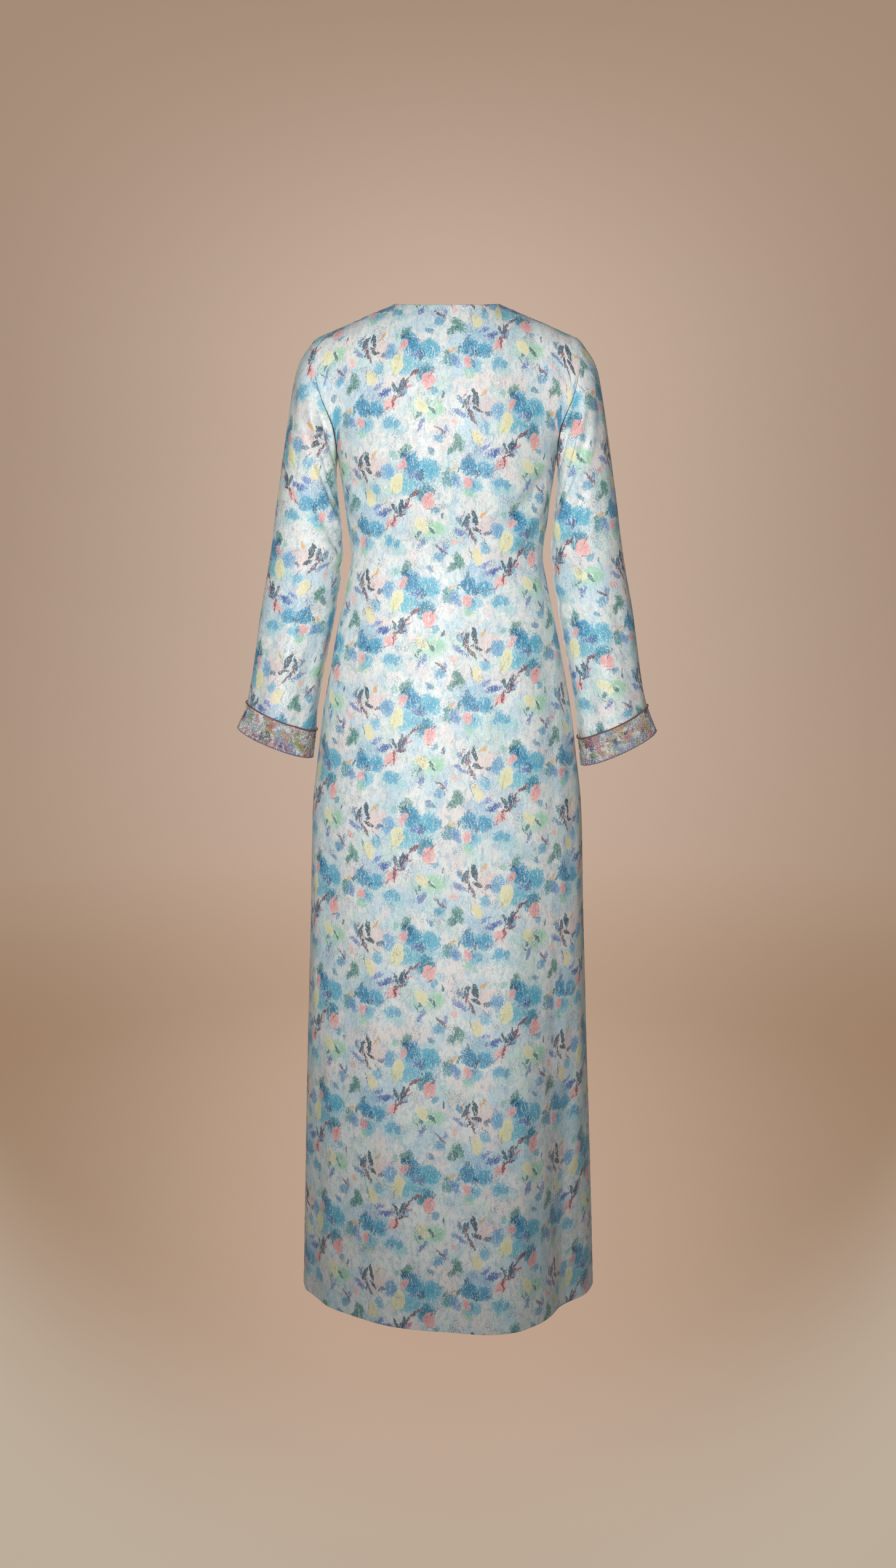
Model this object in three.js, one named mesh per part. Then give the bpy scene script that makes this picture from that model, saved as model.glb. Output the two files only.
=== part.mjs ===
// A full-length abaya of printed satin, standing open as it does on its wearer, with nobody inside.
// It is cut as one back, two fronts that meet edge to edge down the middle, two set-in sleeves that
// widen to the wrist, and an embroidered band round each wrist with a corded seam above it.
//
// Millimetres, +Z up. The wearer faces -Y and the wearer's left is +X. The origin is midway between
// the neck ends of the two shoulder seams, and a "drop" is a distance straight down from there.

import * as THREE from "three";

// ---- Cloth

const WALL = 1.6; // thickness of every cloth piece
const BAND_WALL = 2.2; // the wrist bands are stiffer, with embroidery through them
const SEAM_GAP = 0.3; // between two pieces that are sewn together
const TRIM = 0.2; // how far a sewn edge is drawn back into its own piece
const CORD_RADIUS = 1.5; // of the cord over each wrist band's seam
const CORD_AIR = 0.5; // between the cord and the seam under it

// ---- Driving sizes

const NECK = { half: 71, seamY: 10 }; // neck ends of the shoulder seams
const NECK_CROWN = 25; // how much higher the two shoulder lines would meet, were there no neckline
const NECK_CUT = { back: 0.73, front: 0.36 }; // where the neckline crosses the middle threads
const TIP = { x: 180, y: 4, drop: 46 }; // shoulder seam at the armhole
const UNDERARM = { x: 151, y: 0, drop: 205 };
const ARMHOLE_DEPTH = 60; // half of the armhole's front-to-back size
const HEM_DROP = 1392;

// The body's sections: half its width at the side seams, and how far it stands out at the back and in
// front. "square" is a superellipse's power: 2 is an ellipse, and more is a flatter back and chest.
const BODY = [
  { drop: 205, half: 151, back: 110, front: 117, square: 2.25 },
  { drop: 245, half: 145, back: 105, front: 122, square: 2.3 },
  { drop: 290, half: 139, back: 95, front: 115, square: 2.3 },
  { drop: 340, half: 133, back: 86, front: 99, square: 2.25 },
  { drop: 380, half: 139, back: 87, front: 98, square: 2.2 },
  { drop: 425, half: 148.5, back: 95, front: 104, square: 2.2 },
  { drop: 465, half: 157, back: 106, front: 110, square: 2.15 },
  { drop: 510, half: 165.5, back: 117, front: 116, square: 2.1 },
  { drop: 560, half: 174, back: 126, front: 121, square: 2.1 },
  { drop: 610, half: 180, back: 132, front: 126, square: 2.05 },
  { drop: 690, half: 188.5, back: 139, front: 134, square: 2.05 },
  { drop: 860, half: 194, back: 151, front: 148, square: 2 },
  { drop: 1080, half: 201, back: 167, front: 165, square: 2 },
  { drop: 1340, half: 208, back: 184, front: 183, square: 2 },
  { drop: 1392, half: 209.5, back: 187, front: 187, square: 2 },
];

// The armhole edge from the underarm up to the shoulder, on the back and on the front.
const ARMHOLE = [
  { drop: 46, back: 180, front: 180 },
  { drop: 85, back: 179.5, front: 173 },
  { drop: 124, back: 171, front: 160 },
  { drop: 165, back: 155, front: 150 },
  { drop: 190, back: 151, front: 149.5 },
  { drop: 205, back: 151, front: 151 },
];

// The sleeve's sections, along its middle line. "out" is the side away from the body and "in" the side
// next to it; "midY" and "depth" are the middle and half of the section from front to back.
const SLEEVE = [
  { along: 0, outX: 180, outDrop: 46, inX: 151, inDrop: 205, midY: 2, depth: 60 },
  { along: 32, outX: 203, outDrop: 80, inX: 153, inDrop: 226, midY: 1, depth: 61 },
  { along: 74, outX: 214.5, outDrop: 128, inX: 151.5, inDrop: 257, midY: 0, depth: 61 },
  { along: 117, outX: 223.5, outDrop: 185, inX: 147.5, inDrop: 292, midY: -3, depth: 60 },
  { along: 173, outX: 234, outDrop: 254, inX: 144.5, inDrop: 342, midY: -7, depth: 60 },
  { along: 249, outX: 246, outDrop: 339, inX: 152.5, inDrop: 406, midY: -12, depth: 61 },
  { along: 325, outX: 261, outDrop: 424, inX: 165.5, inDrop: 472, midY: -18, depth: 64 },
  { along: 412, outX: 273.5, outDrop: 511, inX: 181.5, inDrop: 557, midY: -23, depth: 69 },
  { along: 452, outX: 282.5, outDrop: 552, inX: 185.5, inDrop: 598, midY: -25, depth: 72 },
  { along: 490, outX: 296.5, outDrop: 588, inX: 190, inDrop: 637, midY: -26, depth: 76 },
];
const SLEEVE_END = 452; // where the wrist band is sewn on
const BAND_END = 490; // the wrist band's lower edge
const LEFT_CUFF_LIFT = { from: 130, in: 11, out: 5 }; // the wearer's left wrist is held a little higher

// Upright flutes of the skirt. "turn" is the angle round the body from the middle of the back, towards
// the wearer's left; each starts at a drop and reaches its full rise (or fall, below 0) at the hem.
const FLUTES = [
  { turn: -21, start: 720, rise: 24, spread: 17 },
  { turn: -58, start: 780, rise: -15, spread: 12 },
  { turn: 42, start: 820, rise: -10, spread: 13 },
  { turn: 67, start: 900, rise: -9, spread: 11 },
  { turn: -88, start: 940, rise: 3, spread: 8 },
  { turn: 122, start: 840, rise: -11, spread: 14 },
  { turn: 152, start: 740, rise: 14, spread: 15 },
  { turn: -152, start: 760, rise: 13, spread: 15 },
  { turn: -124, start: 860, rise: -10, spread: 13 },
];

const SEAM_FADE = 60; // how far down a sleeve the shape of its armhole is felt
const CREASE_FADE = 16; // folds die out over this much of the sleeve, next to the armhole

// Folds of a sleeve, each from one place to another. "turn" runs round the sleeve from its outer line
// over the back (90) to the underarm (180) and the front (270).
const CREASES = [
  { turn: 88, along: 12, toTurn: 166, toAlong: 42, rise: -8, spread: 10 },
  { turn: 78, along: 36, toTurn: 160, toAlong: 74, rise: 5, spread: 12 },
  { turn: 70, along: 66, toTurn: 150, toAlong: 112, rise: -4, spread: 13 },
  { turn: 276, along: 14, toTurn: 198, toAlong: 44, rise: -7, spread: 10 },
  { turn: 284, along: 40, toTurn: 205, toAlong: 78, rise: 4, spread: 12 },
  { turn: 120, along: 215, toTurn: 196, toAlong: 190, rise: -4, spread: 13 },
  { turn: 112, along: 262, toTurn: 190, toAlong: 246, rise: -3, spread: 13 },
  { turn: 62, along: 300, toTurn: 48, toAlong: 470, rise: -3, spread: 15 },
  { turn: 128, along: 330, toTurn: 120, toAlong: 480, rise: -3.5, spread: 16 },
  { turn: 238, along: 320, toTurn: 246, toAlong: 476, rise: -3.5, spread: 16 },
  { turn: 305, along: 300, toTurn: 312, toAlong: 470, rise: -3, spread: 15 },
];

// ---- How finely each piece is divided

const NECK_COLUMNS = 5; // from the middle of the neckline to the shoulder seam
const SHOULDER_COLUMNS = 7; // along one shoulder seam
const NECK_SHARE = 0.42; // of a half panel's columns that run up to the neckline
const ARMHOLE_ROWS = 10; // from the underarm to the shoulder, and half of those round a sleeve
const SKIRT_BANDS = [
  { from: 1392, to: 705, rows: 10 },
  { from: 705, to: 465, rows: 6 },
  { from: 465, to: 205, rows: 10 },
];
const SLEEVE_ROWS = [0, 7, 14, 22, 31, 42, 54, 68, 84, 104, 130, 160, 195, 232, 270, 315, 365, 410, 452];
const BAND_ROWS = 3;
const CORD_SIDES = 6;

// ---- Small helpers

const vector = (x, y, z) => new THREE.Vector3(x, y, z);
const mix = (a, b, t) => a + (b - a) * t;
const radians = THREE.MathUtils.degToRad;
const ease = (t) => {
  const s = Math.min(1, Math.max(0, t));
  return s * s * (3 - 2 * s);
};

// One column of a table as a smooth curve through its rows, by its "key" column.
function smooth(table, key, column, at) {
  let i = 0;
  while (i < table.length - 2 && at > table[i + 1][key]) i += 1;
  const knot = (k) => table[Math.min(table.length - 1, Math.max(0, k))];
  const [before, a, b, after] = [knot(i - 1), knot(i), knot(i + 1), knot(i + 2)];
  const span = b[key] - a[key];
  const slopeA = (b[column] - before[column]) / (b[key] - before[key]);
  const slopeB = (after[column] - a[column]) / (after[key] - a[key]);
  const t = (at - a[key]) / span;
  const bendIn = (t * t * t - 2 * t * t + t) * span * slopeA;
  const bendOut = (t * t * t - t * t) * span * slopeB;
  return mix(a[column], b[column], t * t * (3 - 2 * t)) + bendIn + bendOut;
}

// ---- The body's surface

// How far the flutes lift the skirt at a place round it.
function fluteRise(turn, drop) {
  return FLUTES.reduce((sum, flute) => {
    const away = ((turn - flute.turn + 540) % 360) - 180;
    const grown = ease((drop - flute.start) / (HEM_DROP - flute.start));
    return sum + flute.rise * grown * Math.exp(-((away / flute.spread) ** 2));
  }, 0);
}

// A point of the body below the underarm. "side" is 1 for the back and -1 for the front, and "across"
// runs from -1 at the wearer's right side seam to 1 at the left one.
function bodyPoint(side, across, drop) {
  const angle = (across * Math.PI) / 2;
  const power = 2 / smooth(BODY, "drop", "square", drop);
  const half = smooth(BODY, "drop", "half", drop);
  const depth = smooth(BODY, "drop", side > 0 ? "back" : "front", drop);
  const sine = Math.sign(angle) * Math.abs(Math.sin(angle)) ** power;
  const cosine = Math.max(0, Math.cos(angle)) ** power;
  const turn = side > 0 ? across * 90 : 180 - across * 90;
  const lift = fluteRise(turn, drop);
  return vector((half + lift) * sine, side * (depth + lift) * cosine, -drop);
}

// The line the cloth turns over at the top: the shoulder seams, and the way from one to the other.
function shoulderLine(across) {
  const out = Math.abs(across);
  const hand = Math.sign(across);
  if (out >= NECK_SHARE) {
    const t = (out - NECK_SHARE) / (1 - NECK_SHARE);
    return vector(hand * mix(NECK.half, TIP.x, t), mix(NECK.seamY, TIP.y, t), -TIP.drop * t);
  }
  const part = Math.sin(((out / NECK_SHARE) * Math.PI) / 2);
  return vector(hand * NECK.half * part, NECK.seamY, NECK_CROWN * Math.cos((part * Math.PI) / 2));
}

// How much of a thread is left below the neckline, which is round where it meets the shoulder seams.
function keptBelowNeck(side, across) {
  const out = Math.abs(across) / NECK_SHARE;
  if (out >= 1) return 1;
  const cut = side > 0 ? NECK_CUT.back : NECK_CUT.front;
  return 1 - (1 - cut) * Math.cos((out * Math.PI) / 2);
}

// The armhole edge, from the underarm at 0 to the shoulder at 1.
function armhole(side, hand, up) {
  const angle = Math.PI * (1 - up);
  const drop = mix(TIP.drop, UNDERARM.drop, (1 - Math.cos(angle)) / 2);
  const middleY = mix(TIP.y, UNDERARM.y, (1 - Math.cos(angle)) / 2);
  const x = smooth(ARMHOLE, "drop", side > 0 ? "back" : "front", drop);
  return vector(hand * x, middleY + side * ARMHOLE_DEPTH * Math.sin(angle), -drop);
}

// A thread of the cloth from the underarm level up and over to the shoulder line.
function thread(side, across, up) {
  const RISE = 235;
  const KEEP_WIDTH = 0.25;
  const STILL_RISING = 12;
  const start = bodyPoint(side, across, UNDERARM.drop);
  const below = bodyPoint(side, across, UNDERARM.drop + 1);
  const leave = start.clone().sub(below).multiplyScalar(RISE);
  leave.x *= KEEP_WIDTH;
  const t = up * keptBelowNeck(side, across);
  return new THREE.Vector3()
    .addScaledVector(start, 2 * t ** 3 - 3 * t ** 2 + 1)
    .addScaledVector(leave, t ** 3 - 2 * t ** 2 + t)
    .addScaledVector(shoulderLine(across), 3 * t ** 2 - 2 * t ** 3)
    .addScaledVector(vector(0, -side * RISE, STILL_RISING), t ** 3 - t ** 2);
}

// A point of the body above the underarm, drawn to the armhole near a panel's edge.
function yokePoint(side, across, up) {
  const PULL_POWER = 3.4;
  const hand = across < 0 ? -1 : 1;
  const pull = armhole(side, hand, up).sub(thread(side, hand, up));
  return thread(side, across, up).addScaledVector(pull, Math.abs(across) ** PULL_POWER);
}

// ---- The sleeve's surface, drawn for the left arm and turned over in X for the right one

// How far the folds lift the sleeve at a place on it.
function creaseRise(turn, along) {
  const MM_PER_DEGREE = 1.1;
  const FADE = 0.3;
  return CREASES.reduce((sum, fold) => {
    const run = new THREE.Vector2((fold.toTurn - fold.turn) * MM_PER_DEGREE, fold.toAlong - fold.along);
    const here = new THREE.Vector2((turn - fold.turn) * MM_PER_DEGREE, along - fold.along);
    const t = here.dot(run) / run.lengthSq();
    const away = Math.abs(here.cross(run)) / run.length();
    const ends = ease(t / FADE + FADE) * ease((1 - t) / FADE + FADE);
    return sum + fold.rise * ends * Math.exp(-((away / fold.spread) ** 2));
  }, 0);
}

// A point of the plain sleeve, and the middle of its section.
function ring(turn, along) {
  const at = (column) => smooth(SLEEVE, "along", column, along);
  const angle = radians(turn);
  const toOut = (1 + Math.cos(angle)) / 2;
  const y = at("midY") + at("depth") * Math.sin(angle);
  const point = vector(mix(at("inX"), at("outX"), toOut), y, -mix(at("inDrop"), at("outDrop"), toOut));
  const middle = vector(mix(at("inX"), at("outX"), 0.5), at("midY"), -mix(at("inDrop"), at("outDrop"), 0.5));
  return { point, middle, toOut };
}

function sleevePoint(hand, turn, along) {
  const { point, middle, toOut } = ring(turn, along);
  const up = 1 - Math.min(turn, 360 - turn) / 180;
  const toSeam = armhole(turn <= 180 ? 1 : -1, 1, up).sub(ring(turn, 0).point);
  const leftSeam = ease(along / SEAM_FADE);
  point.addScaledVector(toSeam, 1 - leftSeam);
  const out = point.clone().sub(middle).normalize();
  point.addScaledVector(out, ease(along / CREASE_FADE) * creaseRise(turn, along));
  const lifted = ease((along - LEFT_CUFF_LIFT.from) / (SLEEVE_END - LEFT_CUFF_LIFT.from));
  if (hand > 0) point.z += mix(LEFT_CUFF_LIFT.in, LEFT_CUFF_LIFT.out, toOut) * lifted;
  return point;
}

// ---- Turning surfaces into solids

const middleOfArmhole = vector(
  (TIP.x + UNDERARM.x) / 2,
  (TIP.y + UNDERARM.y) / 2,
  -(TIP.drop + UNDERARM.drop) / 2,
);
const armholeNormal = vector(UNDERARM.drop - TIP.drop, 0, UNDERARM.x - TIP.x).normalize();
const keyOf = (p) => [p.x, p.y, p.z].map((v) => Math.round(v * 50)).join();

// Outward normals of a grid of points, by the points beside each one.
function gridNormals(grid, closed, outward) {
  const rows = grid.length;
  const columns = grid[0].length;
  return grid.map((row, r) =>
    row.map((point, c) => {
      const next = closed ? (c + 1) % columns : Math.min(columns - 1, c + 1);
      const last = closed ? (c + columns - 1) % columns : Math.max(0, c - 1);
      const acrossway = row[next].clone().sub(row[last]);
      const upway = grid[Math.min(rows - 1, r + 1)][c].clone().sub(grid[Math.max(0, r - 1)][c]);
      return acrossway.cross(upway).normalize().multiplyScalar(outward);
    }),
  );
}

// The closed solid between an outer grid and an inner one.
function solidBetween(outer, inner, closed) {
  const rows = outer.length;
  const columns = outer[0].length;
  const positions = [...outer.flat(), ...inner.flat()].flatMap((p) => p.toArray());
  const faces = [];
  const outerAt = (r, c) => r * columns + (c % columns);
  const innerAt = (r, c) => rows * columns + outerAt(r, c);
  const quad = (a, b, c, d) => faces.push(a, b, c, a, c, d);
  const spans = closed ? columns : columns - 1;
  for (let r = 0; r < rows - 1; r += 1) {
    for (let c = 0; c < spans; c += 1) {
      quad(outerAt(r, c), outerAt(r, c + 1), outerAt(r + 1, c + 1), outerAt(r + 1, c));
      quad(innerAt(r, c), innerAt(r + 1, c), innerAt(r + 1, c + 1), innerAt(r, c + 1));
    }
  }
  for (let c = 0; c < spans; c += 1) {
    quad(outerAt(0, c), innerAt(0, c), innerAt(0, c + 1), outerAt(0, c + 1));
    quad(outerAt(rows - 1, c), outerAt(rows - 1, c + 1), innerAt(rows - 1, c + 1), innerAt(rows - 1, c));
  }
  for (let r = 0; !closed && r < rows - 1; r += 1) {
    const end = columns - 1;
    quad(outerAt(r, 0), outerAt(r + 1, 0), innerAt(r + 1, 0), innerAt(r, 0));
    quad(outerAt(r, end), innerAt(r, end), innerAt(r + 1, end), outerAt(r + 1, end));
  }
  const geometry = new THREE.BufferGeometry();
  geometry.setAttribute("position", new THREE.Float32BufferAttribute(positions, 3));
  geometry.setIndex(signedVolume(positions, faces) < 0 ? faces.reverse() : faces);
  geometry.computeVertexNormals();
  return geometry;
}

function signedVolume(positions, faces) {
  const corner = (i) => vector(...positions.slice(3 * i, 3 * i + 3));
  let volume = 0;
  for (let i = 0; i < faces.length; i += 3) {
    const [a, b, c] = [corner(faces[i]), corner(faces[i + 1]), corner(faces[i + 2])];
    volume += a.dot(b.cross(c)) / 6;
  }
  return volume;
}

// Draws a panel's first or last column back from its seam.
function trimSide(grid, atEnd) {
  for (const row of grid) {
    const [edge, beside] = atEnd ? [row.at(-1), row.at(-2)] : [row[0], row[1]];
    edge.add(beside.clone().sub(edge).setLength(TRIM));
  }
}

// Draws the shoulder seams back, and leaves the neckline between them where it is.
function trimShoulders(grid, columns) {
  const [top, below] = [grid.at(-1), grid.at(-2)];
  columns.forEach((across, i) => {
    if (Math.abs(across) < NECK_SHARE) return;
    top[i].add(below[i].clone().sub(top[i]).setLength(TRIM));
  });
}

// ---- Body panels: rows from the hem up, columns from the wearer's right to the left

const lowerDrops = SKIRT_BANDS.flatMap((band) =>
  Array.from({ length: band.rows }, (_, i) => mix(band.from, band.to, i / band.rows)),
);
const halfColumns = [
  ...Array.from({ length: NECK_COLUMNS }, (_, i) => (NECK_SHARE * i) / NECK_COLUMNS),
  ...Array.from({ length: SHOULDER_COLUMNS + 1 }, (_, i) => mix(NECK_SHARE, 1, i / SHOULDER_COLUMNS)),
];
const leftHalf = halfColumns;
const rightHalf = halfColumns.map((c) => -c).reverse();
const columnsOf = {
  back: [...rightHalf.slice(0, -1), ...leftHalf],
  front_left: leftHalf,
  front_right: rightHalf,
};

function panelGrid(side, columns) {
  const below = lowerDrops.map((drop) => columns.map((c) => bodyPoint(side, c, drop)));
  const above = Array.from({ length: ARMHOLE_ROWS + 1 }, (_, i) =>
    columns.map((c) => yokePoint(side, c, i / ARMHOLE_ROWS)),
  );
  return [...below, ...above];
}

const panels = Object.entries(columnsOf).map(([name, columns]) => {
  const side = name === "back" ? 1 : -1;
  const grid = panelGrid(side, columns);
  return { name, side, columns, grid, normals: gridNormals(grid, false, -side) };
});

// Where two panels meet, both turn their edge the same way: halfway between their two normals.
const shared = new Map();
for (const { grid, normals } of panels) {
  grid.flat().forEach((point, i) => {
    const key = keyOf(point);
    const sum = shared.get(key) ?? vector(0, 0, 0);
    shared.set(key, sum.add(normals.flat()[i]));
  });
}

function makePanel({ name, columns, grid }) {
  const firstArmholeRow = lowerDrops.length;
  const inner = grid.map((row, r) =>
    row.map((point, c) => {
      const onArmhole = r >= firstArmholeRow && Math.abs(columns[c]) === 1;
      const centre = middleOfArmhole.clone().setX(middleOfArmhole.x * Math.sign(columns[c]));
      const inward = onArmhole ? centre.sub(point) : shared.get(keyOf(point)).clone().negate();
      return point.clone().addScaledVector(inward.normalize(), WALL);
    }),
  );
  for (const layer of [grid, inner]) {
    trimSide(layer, false);
    trimSide(layer, true);
    trimShoulders(layer, columns);
  }
  return solidBetween(grid, inner, false);
}

// ---- Sleeves, wrist bands and cords

const ringTurns = Array.from({ length: 2 * ARMHOLE_ROWS }, (_, i) => (180 * i) / ARMHOLE_ROWS);

function ringGrid(hand, alongs) {
  return alongs.map((along) => ringTurns.map((turn) => sleevePoint(hand, turn, along)));
}

function innerOf(grid, thickness) {
  const normals = gridNormals(grid, true, -1);
  return grid.map((row, r) => row.map((p, c) => p.clone().addScaledVector(normals[r][c], -thickness)));
}

function makeSleeve(hand) {
  const grid = ringGrid(hand, [...SLEEVE_ROWS.slice(0, -1), SLEEVE_END - SEAM_GAP / 2]);
  const inner = innerOf(grid, WALL);
  inner[0] = grid[0].map((p) => {
    return p.clone().addScaledVector(middleOfArmhole.clone().sub(p).normalize(), WALL);
  });
  [...grid[0], ...inner[0]].forEach((p) => p.addScaledVector(armholeNormal, SEAM_GAP));
  return solidBetween(grid, inner, true);
}

function makeBand(hand) {
  const start = SLEEVE_END + SEAM_GAP / 2;
  const alongs = Array.from({ length: BAND_ROWS + 1 }, (_, i) => mix(start, BAND_END, i / BAND_ROWS));
  const grid = ringGrid(hand, alongs);
  return solidBetween(grid, innerOf(grid, BAND_WALL), true);
}

// The cord's middle line stands off the seam by its own radius and a little air.
function makeCord(hand) {
  const seam = ringGrid(hand, [SLEEVE_END - 1, SLEEVE_END, SLEEVE_END + 1]);
  const out = gridNormals(seam, true, -1)[1];
  const line = seam[1].map((p, i) => p.clone().addScaledVector(out[i], CORD_RADIUS + CORD_AIR));
  const down = seam[2].map((p, i) => p.clone().sub(seam[0][i]).normalize());
  const surface = (radius) =>
    Array.from({ length: CORD_SIDES }, (_, k) => {
      const angle = (2 * Math.PI * k) / CORD_SIDES;
      return line.map((p, i) =>
        p
          .clone()
          .addScaledVector(out[i], radius * Math.cos(angle))
          .addScaledVector(down[i], radius * Math.sin(angle)),
      );
    });
  return tubeFrom(surface(CORD_RADIUS));
}

// A closed ring of cord: its sides run round the wrist and close on themselves both ways.
function tubeFrom(sides) {
  const around = sides[0].length;
  const positions = sides.flat().flatMap((p) => p.toArray());
  const faces = [];
  const at = (k, i) => (k % sides.length) * around + (i % around);
  for (let k = 0; k < sides.length; k += 1) {
    for (let i = 0; i < around; i += 1) {
      faces.push(at(k, i), at(k + 1, i), at(k + 1, i + 1), at(k, i), at(k + 1, i + 1), at(k, i + 1));
    }
  }
  const geometry = new THREE.BufferGeometry();
  geometry.setAttribute("position", new THREE.Float32BufferAttribute(positions, 3));
  geometry.setIndex(signedVolume(positions, faces) < 0 ? faces.reverse() : faces);
  geometry.computeVertexNormals();
  return geometry;
}

// Turns a piece over in X for the right arm, with its faces turned back out.
function mirrored(geometry) {
  const copy = geometry.clone().scale(-1, 1, 1);
  copy.setIndex([...copy.index.array].reverse());
  copy.computeVertexNormals();
  return copy;
}

// ---- Materials and the finished garment

const satin = new THREE.MeshStandardMaterial({ color: "#c9d8dc", roughness: 0.42, metalness: 0 });
const embroidery = new THREE.MeshStandardMaterial({ color: "#a9a39b", roughness: 0.5, metalness: 0.1 });
const cordThread = new THREE.MeshStandardMaterial({ color: "#6d3f3c", roughness: 0.6, metalness: 0 });

const abaya = new THREE.Group();

function addPiece(name, geometry, material) {
  const mesh = new THREE.Mesh(geometry, material);
  mesh.name = name;
  abaya.add(mesh);
}

for (const panel of panels) addPiece(panel.name, makePanel(panel), satin);
for (const [name, make, material] of [
  ["sleeve", makeSleeve, satin],
  ["wrist_band", makeBand, embroidery],
  ["wrist_cord", makeCord, cordThread],
]) {
  addPiece(`${name}_left`, make(1), material);
  addPiece(`${name}_right`, mirrored(make(-1)), material);
}

export default abaya;
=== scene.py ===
"""A full-length abaya of printed satin, open and hollow as it stands on its wearer, seen from behind.

After the camera come the pieces, in the order they are sewn: back, fronts, sleeves, wrist bands and
cords. The stage with its lights comes last.
Metres, +Z up; the wearer faces -Y and the wearer's left is +X.
"""
import math

import bpy
import numpy as np
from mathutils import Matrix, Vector


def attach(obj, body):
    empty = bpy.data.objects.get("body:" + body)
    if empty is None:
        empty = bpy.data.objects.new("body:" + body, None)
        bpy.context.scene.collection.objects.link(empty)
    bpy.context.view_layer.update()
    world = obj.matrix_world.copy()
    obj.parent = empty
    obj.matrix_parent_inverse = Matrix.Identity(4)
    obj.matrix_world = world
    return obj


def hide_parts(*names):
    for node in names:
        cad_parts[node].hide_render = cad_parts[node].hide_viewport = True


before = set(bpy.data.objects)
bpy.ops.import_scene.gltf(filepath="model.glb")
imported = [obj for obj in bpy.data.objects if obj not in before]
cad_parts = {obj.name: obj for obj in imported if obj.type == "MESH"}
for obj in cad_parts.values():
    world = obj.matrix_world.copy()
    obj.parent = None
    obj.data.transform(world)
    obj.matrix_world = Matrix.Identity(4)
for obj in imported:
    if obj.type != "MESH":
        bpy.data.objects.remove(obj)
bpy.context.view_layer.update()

# ---- Camera
# A long lens a little under three metres behind the garment, at chest height and tipped down.

TILT_DOWN = 7.937  # degrees
SENSOR, FOCAL_LENGTH = 36, 48.04  # millimetres
lens = bpy.data.cameras.new("camera")
lens.sensor_width = SENSOR
lens.lens = FOCAL_LENGTH
camera = bpy.data.objects.new("camera", lens)
camera.location = (-0.0013, 2.923, -0.254)
camera.rotation_euler = (math.radians(90 - TILT_DOWN), 0, math.radians(180))
bpy.context.scene.collection.objects.link(camera)
bpy.context.scene.camera = camera

# ---- The body's cut
# The back and the two fronts are cut from printed satin and meet at the shoulder and side seams.
# They are drawn in millimetres as a body of level sections, with threads running up over the chest.

MM = 0.001


def table(names, *rows):
    return dict(zip(names.split(), np.array(rows, float).T))


BODY = table(
    "drop half back front square",
    (205, 151, 110, 117, 2.25), (245, 145, 105, 122, 2.3), (290, 139, 95, 115, 2.3),
    (340, 133, 86, 99, 2.25), (380, 139, 87, 98, 2.2), (425, 148.5, 95, 104, 2.2),
    (465, 157, 106, 110, 2.15), (510, 165.5, 117, 116, 2.1), (560, 174, 126, 121, 2.1),
    (610, 180, 132, 126, 2.05), (690, 188.5, 139, 134, 2.05), (860, 194, 151, 148, 2),
    (1080, 201, 167, 165, 2), (1340, 208, 184, 183, 2), (1392, 209.5, 187, 187, 2),
)
ARMHOLE = table(
    "drop back front",
    (46, 180, 180), (85, 179.5, 173), (124, 171, 160), (165, 155, 150), (190, 151, 149.5), (205, 151, 151),
)
NECK_HALF, NECK_SEAM_Y, NECK_CROWN, NECK_SHARE = 71, 10, 25, 0.42
NECK_CUT = {1: 0.73, -1: 0.36}  # how much of the middle threads is kept: behind, in front
TIP_X, TIP_Y, TIP_DROP = 180, 4, 46  # shoulder seam at the armhole
UNDERARM_X, UNDERARM_DROP, ARMHOLE_DEPTH, HEM_DROP = 151, 205, 60, 1392

# Upright flutes of the skirt. "turn" runs round the body from the middle of the back.
FLUTES = table(
    "turn start rise spread",
    (-21, 720, 24, 17), (-58, 780, -15, 12), (42, 820, -10, 13), (67, 900, -9, 11), (-88, 940, 3, 8),
    (122, 840, -11, 14), (152, 740, 14, 15), (-152, 760, 13, 15), (-124, 860, -10, 13),
)


def ease(t):
    s = np.clip(t, 0, 1)
    return s * s * (3 - 2 * s)


def smooth(rows, key, column, at):
    """One column of a table as a smooth curve through its rows."""
    k, v = rows[key], rows[column]
    at = np.asarray(at, float)
    i = np.clip(np.searchsorted(k, at) - 1, 0, len(k) - 2)
    before, after = np.maximum(i - 1, 0), np.minimum(i + 2, len(k) - 1)
    span = k[i + 1] - k[i]
    slope_in = (v[i + 1] - v[before]) / (k[i + 1] - k[before])
    slope_out = (v[after] - v[i]) / (k[after] - k[i])
    t = (at - k[i]) / span
    bend = (t**3 - 2 * t**2 + t) * span * slope_in + (t**3 - t**2) * span * slope_out
    return v[i] + (v[i + 1] - v[i]) * t * t * (3 - 2 * t) + bend


def point(x, y, z):
    return np.stack(np.broadcast_arrays(x, y, z), -1).astype(float)


def body_point(side, across, drop):
    """Below the underarm. side is 1 behind and -1 in front; across is 1 at the left side seam."""
    angle = across * np.pi / 2
    power = 2 / smooth(BODY, "drop", "square", drop)
    sine = np.sign(angle) * np.abs(np.sin(angle)) ** power
    cosine = np.maximum(0, np.cos(angle)) ** power
    turn = across * 90 if side > 0 else 180 - across * 90
    lift = 0
    for t, start, rise, spread in zip(*FLUTES.values()):
        away = (turn - t + 540) % 360 - 180
        lift = lift + rise * ease((drop - start) / (HEM_DROP - start)) * np.exp(-((away / spread) ** 2))
    half = smooth(BODY, "drop", "half", drop) + lift
    depth = smooth(BODY, "drop", "back" if side > 0 else "front", drop) + lift
    return point(half * sine, side * depth * cosine, -drop)


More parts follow.
